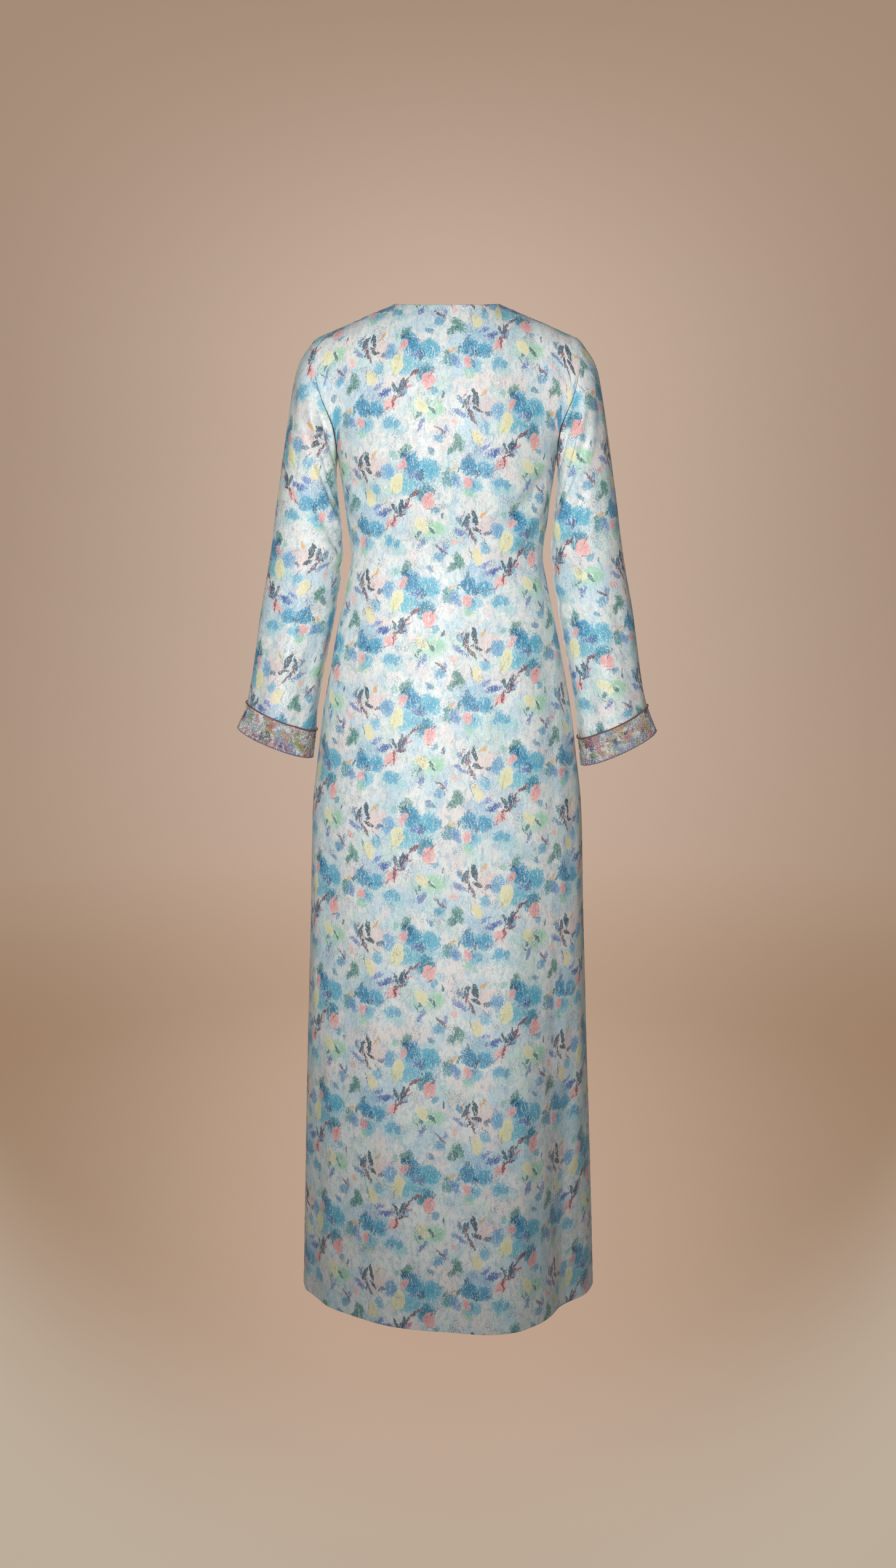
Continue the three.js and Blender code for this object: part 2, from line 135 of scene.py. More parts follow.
def shoulder_line(across):
    """The line where the cloth turns over at the top: both shoulder seams and the way between them."""
    out, hand = np.abs(across), np.sign(across)
    t = (out - NECK_SHARE) / (1 - NECK_SHARE)
    seam = point(
        hand * (NECK_HALF + (TIP_X - NECK_HALF) * t), NECK_SEAM_Y + (TIP_Y - NECK_SEAM_Y) * t, -TIP_DROP * t
    )
    part = np.sin(np.minimum(out / NECK_SHARE, 1) * np.pi / 2)
    crown = point(hand * NECK_HALF * part, NECK_SEAM_Y, NECK_CROWN * np.cos(part * np.pi / 2))
    return np.where((out >= NECK_SHARE)[..., None], seam, crown)


def armhole(side, hand, up):
    """The armhole edge, from the underarm at 0 to the shoulder at 1."""
    angle = np.pi * (1 - up)
    share = (1 - np.cos(angle)) / 2
    drop = TIP_DROP + (UNDERARM_DROP - TIP_DROP) * share
    behind, before = (smooth(ARMHOLE, "drop", c, drop) for c in ("back", "front"))
    x = np.where(np.asarray(side) > 0, behind, before)
    return point(hand * x, TIP_Y * (1 - share) + side * ARMHOLE_DEPTH * np.sin(angle), -drop)


def thread(side, across, up):
    """From the underarm's level up and over to the shoulder line, cut off at the neckline."""
    rise = 235
    start = body_point(side, across, UNDERARM_DROP)
    leave = (start - body_point(side, across, UNDERARM_DROP + 1)) * rise * np.array([0.25, 1, 1])
    arrive = np.array([0, -side * rise, 12.0])
    near_neck = np.cos(np.minimum(np.abs(across) / NECK_SHARE, 1) * np.pi / 2)
    t = (up * (1 - (1 - NECK_CUT[side]) * near_neck))[..., None]
    return (
        start * (2 * t**3 - 3 * t**2 + 1) + leave * (t**3 - 2 * t**2 + t)
        + shoulder_line(across) * (3 * t**2 - 2 * t**3) + arrive * (t**3 - t**2)
    )


def yoke_point(side, across, up):
    hand = np.where(across < 0, -1.0, 1.0)
    pull = armhole(side, hand, up) - thread(side, hand, up)
    return thread(side, across, up) + pull * (np.abs(across) ** 3.4)[..., None]


# ---- The printed satin
# Crepe-backed satin, woven white and screen printed with loose painted flowers of a generic kind. One
# repeat is 150 mm wide and 160 mm high, and each column hangs half a repeat below the one beside it.


def linear(hexcode):
    """An sRGB hex colour as linear RGBA."""
    parts = [int(hexcode[i:i + 2], 16) / 255 for i in (1, 3, 5)]
    return tuple(c / 12.92 if c <= 0.04045 else ((c + 0.055) / 1.055) ** 2.4 for c in parts) + (1.0,)


def add(tree, kind, settings, inputs, out=0):
    """Adds a node with its settings and links, and returns one of its outputs."""
    node = tree.nodes.new("ShaderNode" + kind)
    for name, value in settings.items():
        setattr(node, name, value)
    for name, value in inputs.items():
        if isinstance(value, bpy.types.NodeSocket):
            tree.links.new(value, node.inputs[name])
        else:
            node.inputs[name].default_value = value
    return node.outputs[out]


# Settings that many nodes share.
SMOOTH = {"interpolation_type": "SMOOTHSTEP"}
COLOURS = {"data_type": "RGBA"}
FLAT = {"noise_dimensions": "2D"}
CELLS = {"voronoi_dimensions": "2D"}


def new_material(name):
    """A material with its node tree and its shader."""
    material = bpy.data.materials.new(name)
    material.use_nodes = True
    return material, material.node_tree, material.node_tree.nodes["Principled BSDF"]


def cloth_place(tree):
    """The place on the flat cloth, in millimetres."""
    laid = add(tree, "UVMap", {"uv_map": "print"}, {})
    return add(tree, "VectorMath", {"operation": "MULTIPLY"}, {0: laid, 1: (1000, 1000, 0)})


REPEAT_WIDTH, REPEAT_HEIGHT = 150.0, 160.0
OPACITY = 0.95  # of the printing inks, which the white cloth shows through
EDGE_BLUR, BRISTLE = 0.7, 0.9  # how soft and how ragged the screens leave the edge of a brush mark

# Each family of motifs has its middle at a place of its own in the repeat. Its brush marks lie round it:
# (x, y, turn, half width, half length, softness, dryness, colour, colour at the rim or None, strength).
MOTIFS = {
    "washes": ((75, 80), (
        (-30, 36, 10, 38, 26, 0.85, 0.7, "#82c2d2", None, 0.62),
        (36, -24, 40, 31, 22, 0.8, 0.8, "#7eb4d2", None, 0.55),
        (26, 46, 0, 24, 17, 0.85, 0.5, "#efcbc2", None, 0.62),
        (-40, -40, 0, 25, 18, 0.85, 0.5, "#b0d8c2", None, 0.66),
        (4, -60, 20, 24, 13, 0.8, 0.7, "#98d2d6", None, 0.6),
    )),
    "mint_and_green": ((22, 44), (
        (0, 0, 0, 17, 12.5, 0.5, 0.45, "#a0d2ac", "#c0e2c6", 0.9),
        (4, -1, 30, 6, 5, 0.7, 0.3, "#eef4ea", "#e2f0dd", 0.8),
        (54, 56, 40, 14, 11, 0.55, 0.5, "#a7d5b2", "#c6e5ca", 0.86),
        (-46, 50, 60, 11, 9, 0.6, 0.6, "#90c8a6", "#b7ddbe", 0.78),
        (-32, -44, -24, 8, 14, 0.5, 0.7, "#3f7f75", "#74ab9a", 0.9),
        (-24, -52, 40, 6, 11, 0.5, 0.75, "#34716f", "#68a294", 0.85),
        (40, -56, 35, 8, 13, 0.5, 0.7, "#3c7c72", "#6ea898", 0.85),
    )),
    "large_blossoms": ((44, 116), (
        (-15, 9, 20, 17, 14.5, 0.25, 0.45, "#4da8c2", "#80c3d6", 0.96),
        (11, 17, -25, 15, 17, 0.25, 0.6, "#2a84ab", "#5eaecb", 0.96),
        (17, -13, 75, 14.5, 18, 0.35, 0.5, "#6abacb", "#9acddc", 0.9),
        (-9, -23, 35, 13, 15, 0.3, 0.75, "#237891", "#5aaabe", 0.94),
        (43, 5, 10, 10.5, 13, 0.3, 0.7, "#5ba2ca", "#8abcda", 0.88),
        (-42, -5, 60, 10, 13, 0.4, 0.9, "#378892", "#72b6bc", 0.85),
        (-3, 0, 10, 7, 9, 0.6, 1.1, "#1b5378", "#2f6c92", 0.78),
        (15, 22, 40, 5, 8, 0.6, 1.1, "#1f5a80", "#3776a0", 0.7),
    )),
    "small_blossoms": ((116, 36), (
        (-11, 7, 20, 13.5, 12, 0.25, 0.5, "#409abc", "#76b9d2", 0.94),
        (10, 11, -25, 11.5, 14, 0.25, 0.6, "#267ea5", "#5aaac8", 0.94),
        (3, -14, 75, 11, 13.5, 0.35, 0.5, "#6fb9cd", "#9fd1dd", 0.88),
        (-31, -10, 50, 8.5, 11, 0.35, 0.7, "#5aa6c6", "#8fc5d9", 0.88),
        (28, -8, -30, 7.5, 11, 0.35, 0.8, "#6690c2", "#96b5d8", 0.82),
        (0, 2, 10, 5, 7, 0.6, 1.1, "#1b5378", "#2f6c92", 0.72),
        (-50, 34, 20, 8, 11, 0.35, 0.7, "#5b9ec0", "#8cc0d6", 0.88),
        (50, 50, 70, 7.5, 10, 0.4, 0.8, "#4f97ba", "#84bcd2", 0.85),
        (-12, 62, -30, 8, 9.5, 0.35, 0.7, "#6cb0cc", "#9fcfde", 0.85),
    )),
    "dabs": ((134, 84), (
        (-60, -60, 20, 5, 7, 0.3, 1.0, "#5aa3c0", None, 0.8),
        (-42, -20, 50, 4, 6.5, 0.3, 1.1, "#4f86a6", None, 0.8),
        (-62, 18, -30, 4.5, 7, 0.3, 1.0, "#7cb8cc", None, 0.8),
        (-34, 34, 70, 3.5, 6, 0.3, 1.1, "#3c6f8c", None, 0.8),
        (-56, 60, 10, 5, 6, 0.4, 1.0, "#86c2b4", None, 0.75),
        (-12, -58, -40, 4, 7, 0.3, 1.1, "#5b93b8", None, 0.8),
        (-6, -24, 30, 3, 6, 0.3, 1.0, "#5d7f92", None, 0.8),
        (-16, 8, 80, 4.5, 6, 0.3, 1.0, "#79b6cc", None, 0.8),
        (4, 52, -20, 4, 7, 0.3, 1.1, "#4b90b0", None, 0.8),
        (22, -44, 60, 3.5, 6, 0.3, 1.1, "#4a8a86", None, 0.8),
        (24, 14, 10, 3.5, 6.5, 0.3, 1.2, "#6a86b8", None, 0.75),
        (38, 64, 40, 4.5, 6, 0.3, 1.0, "#62a9c2", None, 0.8),
        (44, -14, -60, 4, 7, 0.3, 1.1, "#5089a8", None, 0.8),
        (62, -62, 0, 4.5, 6.5, 0.3, 1.0, "#74b3c8", None, 0.8),
        (58, 34, 30, 3, 6, 0.3, 1.0, "#3f6d84", None, 0.8),
    )),
    "violet_strokes": ((92, 66), (
        (0, 0, 75, 5, 13, 0.4, 1.3, "#5367ac", None, 0.85),
        (11, 8, 60, 3.4, 9, 0.4, 1.4, "#6b82c4", None, 0.8),
        (-52, -42, 30, 4, 10, 0.4, 1.4, "#5a70b0", None, 0.8),
        (46, 52, -60, 4, 12, 0.4, 1.3, "#5f78b8", None, 0.8),
        (-44, 50, 84, 3.6, 10, 0.4, 1.4, "#6478b6", None, 0.75),
    )),
    "yellow_petals": ((98, 100), (
        (-24, 6, 12, 9.5, 15.5, 0.14, 0.25, "#ebe2ac", "#f0ebc8", 0.97),
        (17, -14, -22, 7.5, 12.5, 0.25, 0.35, "#eee4ac", "#f2e2ba", 0.92),
        (-18, -6, 20, 1.2, 9, 0.5, 0.9, "#c3a94e", "#d4c05e", 0.65),
        (-58, -52, -40, 8, 12.5, 0.2, 0.35, "#ece3b0", "#f1ecc9", 0.95),
        (8, 44, 40, 2.8, 8, 0.4, 0.9, "#e0a064", "#e8c067", 0.85),
        (50, -56, 66, 3, 7, 0.4, 0.9, "#e3a870", "#ecc878", 0.8),
    )),
    "coral_petals": ((30, 78), (
        (0, 4, 10, 9.5, 11.5, 0.16, 0.35, "#eda6a3", "#f3beb6", 0.96),
        (52, -26, 60, 7.5, 10.5, 0.25, 0.5, "#f1aea8", "#f5c5bb", 0.92),
        (-52, 28, -10, 6.5, 9, 0.3, 0.5, "#eea6a2", "#f4c0b8", 0.9),
        (36, 52, 30, 6, 9.5, 0.35, 0.6, "#f0aaa4", "#f6cac0", 0.86),
        (-2, -7.5, 84, 0.9, 7.5, 0.5, 0.3, "#98505c", "#bc666e", 0.75),
        (58, -33, 40, 0.9, 6.5, 0.5, 0.3, "#98505c", "#bc666e", 0.7),
        (-34, -52, 50, 7, 5, 0.5, 0.7, "#f2b5ab", "#f6cfc4", 0.8),
    )),
    "stems": ((66, 74), (
        (-2, 0, 32, 2.7, 16, 0.35, 0.8, "#684954", "#8d6c78", 0.95),
        (-16, 17, 56, 3.1, 10, 0.3, 0.6, "#6f4e5c", "#96747f", 0.95),
        (12, -19, 8, 2.4, 11, 0.4, 1.0, "#8c4658", "#784858", 0.9),
        (3, -12, 74, 2.1, 9, 0.4, 0.9, "#694a56", "#985260", 0.88),
        (56, 40, -28, 2.4, 13, 0.35, 0.8, "#7a5a66", "#90707c", 0.92),
        (62, 54, 20, 2.1, 9, 0.35, 0.9, "#8a4c5c", "#a06470", 0.88),
        (-52, -58, -48, 2.2, 12, 0.35, 0.9, "#74586a", "#8c7080", 0.9),
    )),
    "leaf_sprigs": ((124, 132), (
        (-6, 6, -12, 3.9, 12, 0.16, 0.5, "#374f5d", None, 0.95),
        (6, 2, 26, 3.4, 11, 0.16, 0.5, "#486373", None, 0.94),
        (-9, -10, -62, 3.1, 8, 0.2, 0.6, "#334b57", None, 0.92),
        (2, -13, 8, 1, 9, 0.4, 0.6, "#334b57", None, 0.85),
        (-56, -56, 22, 3.3, 10, 0.18, 0.5, "#46606f", None, 0.93),
        (-47, -60, -26, 2.9, 9, 0.18, 0.6, "#42606a", None, 0.92),
        (-60, 12, 50, 2.6, 7, 0.25, 0.7, "#39687a", None, 0.88),
        (52, -10, -40, 2.8, 7.5, 0.25, 0.7, "#3f6a72", None, 0.88),
    )),
    "fine_lines": ((75, 80), (
        (-50, 12, 40, 0.85, 11, 0.6, 0.6, "#a04a5c", None, 0.85),
        (-28, -48, -30, 0.85, 9, 0.6, 0.6, "#44536e", None, 0.85),
        (22, -40, 70, 0.8, 10, 0.6, 0.6, "#9a4a5c", None, 0.8),
        (48, 10, -12, 0.8, 12, 0.6, 0.6, "#3e6c80", None, 0.8),
        (60, 60, 30, 0.85, 8, 0.6, 0.6, "#b0505e", None, 0.85),
        (-10, 64, -65, 0.85, 10, 0.6, 0.6, "#44536e", None, 0.85),
        (-64, -18, 10, 1.6, 5.5, 0.4, 0.7, "#3f6076", None, 0.85),
        (30, 28, -40, 0.8, 9, 0.6, 0.6, "#9a4a5c", None, 0.8),
        (-18, -6, 62, 1.8, 4.8, 0.3, 0.7, "#d9666f", None, 0.85),
        (64, -36, 20, 2.2, 6, 0.3, 0.7, "#4a7f86", None, 0.85),
    )),
}


def painted_flowers(tree, mm):
    """The printed design's colour, drawn from the cloth's own place in millimetres."""
    wobble = add(tree, "TexNoise", FLAT, {"Vector": mm, "Scale": 0.085, "Detail": 2.0}, "Color")
    drift = add(tree, "VectorMath", {"operation": "MULTIPLY_ADD"}, {0: wobble, 1: (8, 8, 0), 2: mm})
    tremble = add(tree, "TexNoise", FLAT, {"Vector": mm, "Scale": 0.4, "Detail": 3.0}, "Color")
    hand = add(tree, "VectorMath", {"operation": "MULTIPLY_ADD"}, {0: tremble, 1: (3.2, 3.2, 0), 2: drift})
    blotch = add(tree, "TexNoise", FLAT, {"Vector": mm, "Scale": 0.17, "Detail": 4.0, "Roughness": 0.65})
    pooled = add(tree, "MapRange", SMOOTH, {"Value": blotch, "From Min": 0.36, "From Max": 0.64})
    brushed = add(tree, "VectorMath", {"operation": "MULTIPLY"}, {0: hand, 1: (1.0, 0.45, 1.0)})
    bristle = add(
        tree, "TexNoise", FLAT, {"Vector": brushed, "Scale": 0.7, "Detail": 3.0, "Roughness": 0.72}
    )
    dry = add(
        tree, "MapRange", {"clamp": False},
        {"Value": bristle, "From Min": 0.35, "From Max": 0.65, "To Min": -0.5, "To Max": 0.5},
    )

    # The ground is off-white, with pale aqua, cream pink and mint breathing through it.
    zones = add(tree, "TexNoise", FLAT, {"Vector": mm, "Scale": 0.018, "Detail": 2.0}, "Color")
    zone = add(tree, "SeparateColor", {}, {"Color": zones}).node
    canvas = add(tree, "Mix", COLOURS, {0: pooled, 6: linear("#e2e7e3"), 7: linear("#edede7")}, 2)
    for channel, colour, low, high in (
        (0, "#bcd9e4", 0.46, 0.62), (1, "#f1e1da", 0.53, 0.68), (2, "#cfe4da", 0.54, 0.7),
    ):
        share = add(
            tree, "MapRange", SMOOTH,
            {"Value": zone.outputs[channel], "From Min": low, "From Max": high, "To Max": 0.75},
        )
        canvas = add(tree, "Mix", COLOURS, {0: share, 6: canvas, 7: linear(colour)}, 2)

    # Short pale strokes lie all over it.
    for shift, colour, low in (
        (31, "#a3c3d0", 0.54), (67, "#8fb4c6", 0.6), (113, "#e0cdcb", 0.58), (151, "#a9c4b8", 0.6),
    ):
        brushed_on = add(
            tree, "VectorMath", {"operation": "MULTIPLY_ADD"},
            {0: drift, 1: (1.0, 0.5, 0), 2: (shift, shift * 2, 0)},
        )
        strokes = add(
            tree, "TexNoise", FLAT, {"Vector": brushed_on, "Scale": 0.14, "Detail": 3.0, "Roughness": 0.62}
        )
        cover = add(
            tree, "MapRange", SMOOTH,
            {"Value": strokes, "From Min": low, "From Max": low + 0.06, "To Max": 0.42},
        )
        canvas = add(tree, "Mix", COLOURS, {0: cover, 6: canvas, 7: linear(colour)}, 2)

    # Where this place falls in the repeat of each family, and then the family's marks one over another.
    for (right, high), marks in MOTIFS.values():
        place = add(
            tree, "Mapping", {},
            {"Vector": hand, "Scale": (1 / REPEAT_WIDTH, 1 / REPEAT_HEIGHT, 1),
             "Location": (0.5 - right / REPEAT_WIDTH, 0.5 - high / REPEAT_HEIGHT, 0)},
        )
        part = add(tree, "SeparateXYZ", {}, {0: place}).node
        column = add(tree, "Math", {"operation": "FLOOR"}, {0: part.outputs[0]})
        stepped = add(tree, "Math", {"operation": "MULTIPLY_ADD"}, {0: column, 1: -0.5, 2: part.outputs[1]})
        staggered = add(tree, "CombineXYZ", {}, {0: part.outputs[0], 1: stepped})
        inside = add(tree, "VectorMath", {"operation": "FRACTION"}, {0: staggered})
        in_mm = add(
            tree, "VectorMath", {"operation": "MULTIPLY_ADD"},
            {0: inside, 1: (REPEAT_WIDTH, REPEAT_HEIGHT, 0), 2: (-REPEAT_WIDTH / 2, -REPEAT_HEIGHT / 2, 1)},
        )
        for x, y, lean, wide, long, soft, dryness, colour, other, strength in marks:
            c, s = math.cos(math.radians(lean)), math.sin(math.radians(lean))
            sideways = add(
                tree, "VectorMath", {"operation": "DOT_PRODUCT"},
                {0: in_mm, 1: (c / wide, s / wide, -(x * c + y * s) / wide)}, "Value",
            )
            lengthways = add(
                tree, "VectorMath", {"operation": "DOT_PRODUCT"},
                {0: in_mm, 1: (-s / long, c / long, (x * s - y * c) / long)}, "Value",
            )
            square = add(tree, "Math", {"operation": "MULTIPLY"}, {0: sideways, 1: sideways})
            away = add(
                tree, "Math", {"operation": "MULTIPLY_ADD"}, {0: lengthways, 1: lengthways, 2: square}
            )
            ragged = add(
                tree, "Math", {"operation": "MULTIPLY_ADD"}, {0: dry, 1: dryness * BRISTLE, 2: away}
            )
            cover = add(
                tree, "MapRange", SMOOTH,
                {"Value": ragged, "From Min": (1 - EDGE_BLUR * soft) ** 2, "From Max": 1.04,
                 "To Min": strength * OPACITY, "To Max": 0.0},
            )
            paint = linear(colour)
            if other:
                paint = add(tree, "Mix", COLOURS, {0: ragged, 6: paint, 7: linear(other)}, 2)
            canvas = add(tree, "Mix", COLOURS, {0: cover, 6: canvas, 7: paint}, 2)

    # Ink spatter, in drifts. Real dots are finer: these are 1 mm across, as coarse as it takes to show.
    for scale, seed, colour, low, most in (
        (0.6, 3.0, "#42557f", 0.57, 0.28), (0.66, 11.0, "#5a4a58", 0.6, 0.26),
        (0.5, 23.0, "#eef2f0", 0.6, 0.2),
    ):
        shifted = add(tree, "VectorMath", {"operation": "ADD"}, {0: hand, 1: (seed * 17, seed * 5, 0)})
        dots = add(tree, "TexVoronoi", CELLS, {"Vector": shifted, "Scale": scale}, "Distance")
        drifts = add(tree, "TexNoise", FLAT, {"Vector": shifted, "Scale": 0.035, "Detail": 2.0})
        size = add(
            tree, "MapRange", {}, {"Value": drifts, "From Min": low, "From Max": low + 0.14, "To Max": most}
        )
        inked = add(tree, "Math", {"operation": "LESS_THAN"}, {0: dots, 1: size})
        soaked = add(tree, "Math", {"operation": "MULTIPLY"}, {0: inked, 1: 0.7})
        canvas = add(tree, "Mix", COLOURS, {0: soaked, 6: canvas, 7: linear(colour)}, 2)

    # Upright dry strokes of white and blue go over everything.
    for scale, seed, colour, low, strength in (
        (0.42, 5.0, "#f1f3f1", 0.575, 0.6), (0.34, 31.0, "#6aa0c8", 0.62, 0.6),
    ):
        pulled = add(
            tree, "VectorMath", {"operation": "MULTIPLY_ADD"},
            {0: drift, 1: (1.0, 0.16, 0.0), 2: (seed * 13, seed * 7, 0)},
        )
        strokes = add(
            tree, "TexNoise", FLAT, {"Vector": pulled, "Scale": scale, "Detail": 4.0, "Roughness": 0.7}
        )
        cover = add(
            tree, "MapRange", SMOOTH,
            {"Value": strokes, "From Min": low, "From Max": low + 0.09, "To Max": strength},
        )
        canvas = add(tree, "Mix", COLOURS, {0: cover, 6: canvas, 7: linear(colour)}, 2)

    # The cloth's own grain takes the inks unevenly.
    grain = add(tree, "Math", {"operation": "MULTIPLY"}, {0: dry, 1: 0.09})
    return add(tree, "BrightContrast", {}, {"Color": canvas, "Bright": grain})


# The printed face has a soft half-gloss over a fine crinkle. Its small silver glints are painted
# highlights: near-white specks in the colour. Real glints are much finer, and these are as small as shows.
satin, tree, cloth = new_material("printed_satin")
mm = cloth_place(tree)
flowers = painted_flowers(tree, mm)
# Painted highlights: near-white specks mixed into the base colour stand for glints of the silver threads.
glint_cells = add(tree, "TexVoronoi", CELLS, {"Vector": mm, "Scale": 0.17}, "Distance")
glints = add(tree, "Math", {"operation": "LESS_THAN"}, {0: glint_cells, 1: 0.085})
glint_share = add(tree, "Math", {"operation": "MULTIPLY"}, {0: glints, 1: 0.8})
print_and_painted_glints = add(tree, "Mix", COLOURS, {0: glint_share, 6: flowers, 7: linear("#fbfcfd")}, 2)
tree.links.new(print_and_painted_glints, cloth.inputs["Base Color"])
gloss = add(tree, "TexNoise", FLAT, {"Vector": mm, "Scale": 0.3, "Detail": 3.0})
roughness = add(
    tree, "MapRange", {}, {"Value": gloss, "From Min": 0.3, "From Max": 0.7, "To Min": 0.46, "To Max": 0.62}
)
tree.links.new(roughness, cloth.inputs["Roughness"])
cloth.inputs["Specular IOR Level"].default_value = 0.5
upright = add(tree, "VectorMath", {"operation": "MULTIPLY"}, {0: mm, 1: (1.0, 0.28, 0.0)})
crinkle = add(tree, "TexNoise", FLAT, {"Vector": upright, "Scale": 0.5, "Detail": 4.0, "Roughness": 0.6})
crepe = add(tree, "Bump", {}, {"Height": crinkle, "Strength": 0.35, "Distance": 0.0006})
tree.links.new(crepe, cloth.inputs["Normal"])

# The wrong side of the same cloth: the print struck through faintly on a duller, paler face.
wrong_side, tree, cloth = new_material("satin_wrong_side")
mm = cloth_place(tree)
struck = linear("#dfe4e4")
for scale, shift, colour, low in (
    (0.03, 7, "#a9cbd9", 0.5), (0.045, 90, "#e6c9c6", 0.58), (0.045, 150, "#c3ddc9", 0.6),
    (0.06, 210, "#dfd9ae", 0.64),
):
    shifted = add(tree, "VectorMath", {"operation": "ADD"}, {0: mm, 1: (shift, shift * 2, 0)})
    cloud = add(tree, "TexNoise", FLAT, {"Vector": shifted, "Scale": scale, "Detail": 5.0})
    cover = add(
        tree, "MapRange", SMOOTH,
        {"Value": cloud, "From Min": low, "From Max": low + 0.1, "To Max": 0.7},
    )
    struck = add(tree, "Mix", COLOURS, {0: cover, 6: struck, 7: linear(colour)}, 2)
tree.links.new(struck, cloth.inputs["Base Color"])
cloth.inputs["Roughness"].default_value = 0.62
weft = add(tree, "TexNoise", FLAT, {"Vector": mm, "Scale": 0.6, "Detail": 4.0})
matt = add(tree, "Bump", {}, {"Height": weft, "Strength": 0.3, "Distance": 0.0005})
tree.links.new(matt, cloth.inputs["Normal"])

# ---- The back
# One piece of the printed satin from the shoulder seams and the neckline to the hem, sewn in at the
# shoulders, the armholes and the sides. The hem is turned up and stitched.


def surface_normals(grid, outward):
    """Unit normals of a grid of points, pointing to the side of the vector field outward."""
    across = np.gradient(grid, axis=1)
    down = np.gradient(grid, axis=0)
    normal = np.cross(across, down)
    normal /= np.maximum(np.linalg.norm(normal, axis=-1, keepdims=True), 1e-9)
    return normal * np.where((normal * outward).sum(-1, keepdims=True).mean() < 0, -1, 1)


def arc_lengths(grid, axis, zero_at):
    """Distance along the cloth, from the row or column zero_at: this is where the print lies on it."""
    steps = np.linalg.norm(np.diff(grid, axis=axis), axis=-1)
    pad = [(0, 0), (0, 0)]
    pad[axis] = (1, 0)
    along = np.cumsum(np.pad(steps, pad), axis=axis)
    return along - np.take(along, [zero_at], axis=axis)


def fold_rise(folds, x, y, ends=0.4):
    """Soft troughs and ridges, each between two places: (x, y, to x, to y, rise, spread).

    They fade over the share "ends" of their length at either end.
    """
    total = np.zeros(np.broadcast(x, y).shape)
    for x0, y0, x1, y1, rise, spread in folds:
        run = np.hypot(x1 - x0, y1 - y0)
        ux, uy = (x1 - x0) / run, (y1 - y0) / run
        t = ((x - x0) * ux + (y - y0) * uy) / run
        away = (x - x0) * uy - (y - y0) * ux
        fade = ease(t / ends + ends) * ease((1 - t) / ends + ends)
        total += rise * fade * np.exp(-((away / spread) ** 2))
    return total


def slack(x, y, seed):
    """The faint unevenness of hanging cloth: long upright waves a fraction of a millimetre high."""
    rng = np.random.default_rng(seed)
    total = 0
    for size, height in ((95, 0.5), (60, 0.34), (41, 0.22), (27, 0.13), (19, 0.08)):
        turn, phase, bend = rng.uniform(-0.5, 0.5), rng.uniform(0, 6.28), rng.uniform(0, 6.28)
        along = x * np.cos(turn) + y * np.sin(turn) * 0.45
        sway = 0.8 * np.sin(y / (size * 2.3) + bend)
        total = total + height * np.sin(2 * np.pi * along / size + phase + sway)
    return total


def seam_dip(distance, along, seed):
    """Cloth dives into a sewn seam, and puckers a little beside it."""
    rng = np.random.default_rng(seed)
    pucker = sum(
        np.sin(2 * np.pi * along / size + rng.uniform(0, 6.28)) for size in (9.5, 13.7, 21.3)
    )
    near = np.exp(-((distance / 2.1) ** 2))
    beside = np.exp(-(((distance - 4.5) / 4.5) ** 2))
    return -0.95 * near + 0.11 * pucker * beside


CLOTH = 1.0  # thickness of the satin, with its turned edges


def new_piece(name, corners, faces, *materials):
    """A smooth object from corners in metres and faces by the numbers of their corners."""
    mesh = bpy.data.meshes.new(name)
    mesh.from_pydata(corners, [], faces)
    for material in materials:
        mesh.materials.append(material)
    mesh.polygons.foreach_set("use_smooth", np.ones(len(faces), bool))
    mesh.update()
    piece = bpy.data.objects.new(name, mesh)
    bpy.context.scene.collection.objects.link(piece)
    return piece


def lay_print(piece, places):
    """Writes where each corner of each face lies on the flat cloth, from places in millimetres."""
    layer = piece.data.uv_layers.new(name="print")
    layer.data.foreach_set("uv", (places * MM).astype(np.float32).ravel())


def inside_out(corners, faces):
    """Whether the quads of a closed shell look inward, when their volume comes out negative."""
    a, b, c, d = (corners[faces[:, k]] for k in range(4))
    return (np.cross(b - a, c - a) * a).sum() + (np.cross(c - a, d - a) * a).sum() < 0


def cloth_piece(name, outer, inner, places, closed, *materials):
    """A thin closed shell between two grids of points in millimetres, printed by its places on the cloth."""
    rows, columns = outer.shape[:2]
    count = rows * columns

    def shell(o):
        i = o + count
        sides = [
            (o[:-1, :-1], o[:-1, 1:], o[1:, 1:], o[1:, :-1]),  # the outer face
            (i[:-1, :-1], i[1:, :-1], i[1:, 1:], i[:-1, 1:]),  # the inner face
            (o[0, :-1], i[0, :-1], i[0, 1:], o[0, 1:]), (o[-1, :-1], o[-1, 1:], i[-1, 1:], i[-1, :-1]),
        ]
        if not closed:
            sides += [
                (o[:-1, 0], o[1:, 0], i[1:, 0], i[:-1, 0]), (o[:-1, -1], i[:-1, -1], i[1:, -1], o[1:, -1]),
            ]
        return [np.stack([numbers.ravel() for numbers in side], 1) for side in sides]

    own = np.arange(count).reshape(rows, columns)  # the print keeps a last column of its own
    joined = own.copy()
    if closed:  # the last column of corners is the first again
        joined[:, -1] = joined[:, 0]
    sides = shell(joined)
    wrong = np.concatenate([np.full(len(side), n == 1) for n, side in enumerate(sides)])
    faces, printed = np.concatenate(sides), np.concatenate(shell(own))
    corners = np.concatenate([outer.reshape(-1, 3), inner.reshape(-1, 3)]) * MM
    if inside_out(corners, faces):
        faces, printed = faces[:, ::-1], printed[:, ::-1]
    used, renumbered = np.unique(faces, return_inverse=True)
    piece = new_piece(name, corners[used].tolist(), renumbered.reshape(-1, 4).tolist(), *materials)
    lay_print(piece, np.tile(places.reshape(-1, 2), (2, 1))[printed.ravel()])
    piece.data.polygons.foreach_set("material_index", wrong.astype(np.int32))
    piece.data.update()
    return piece


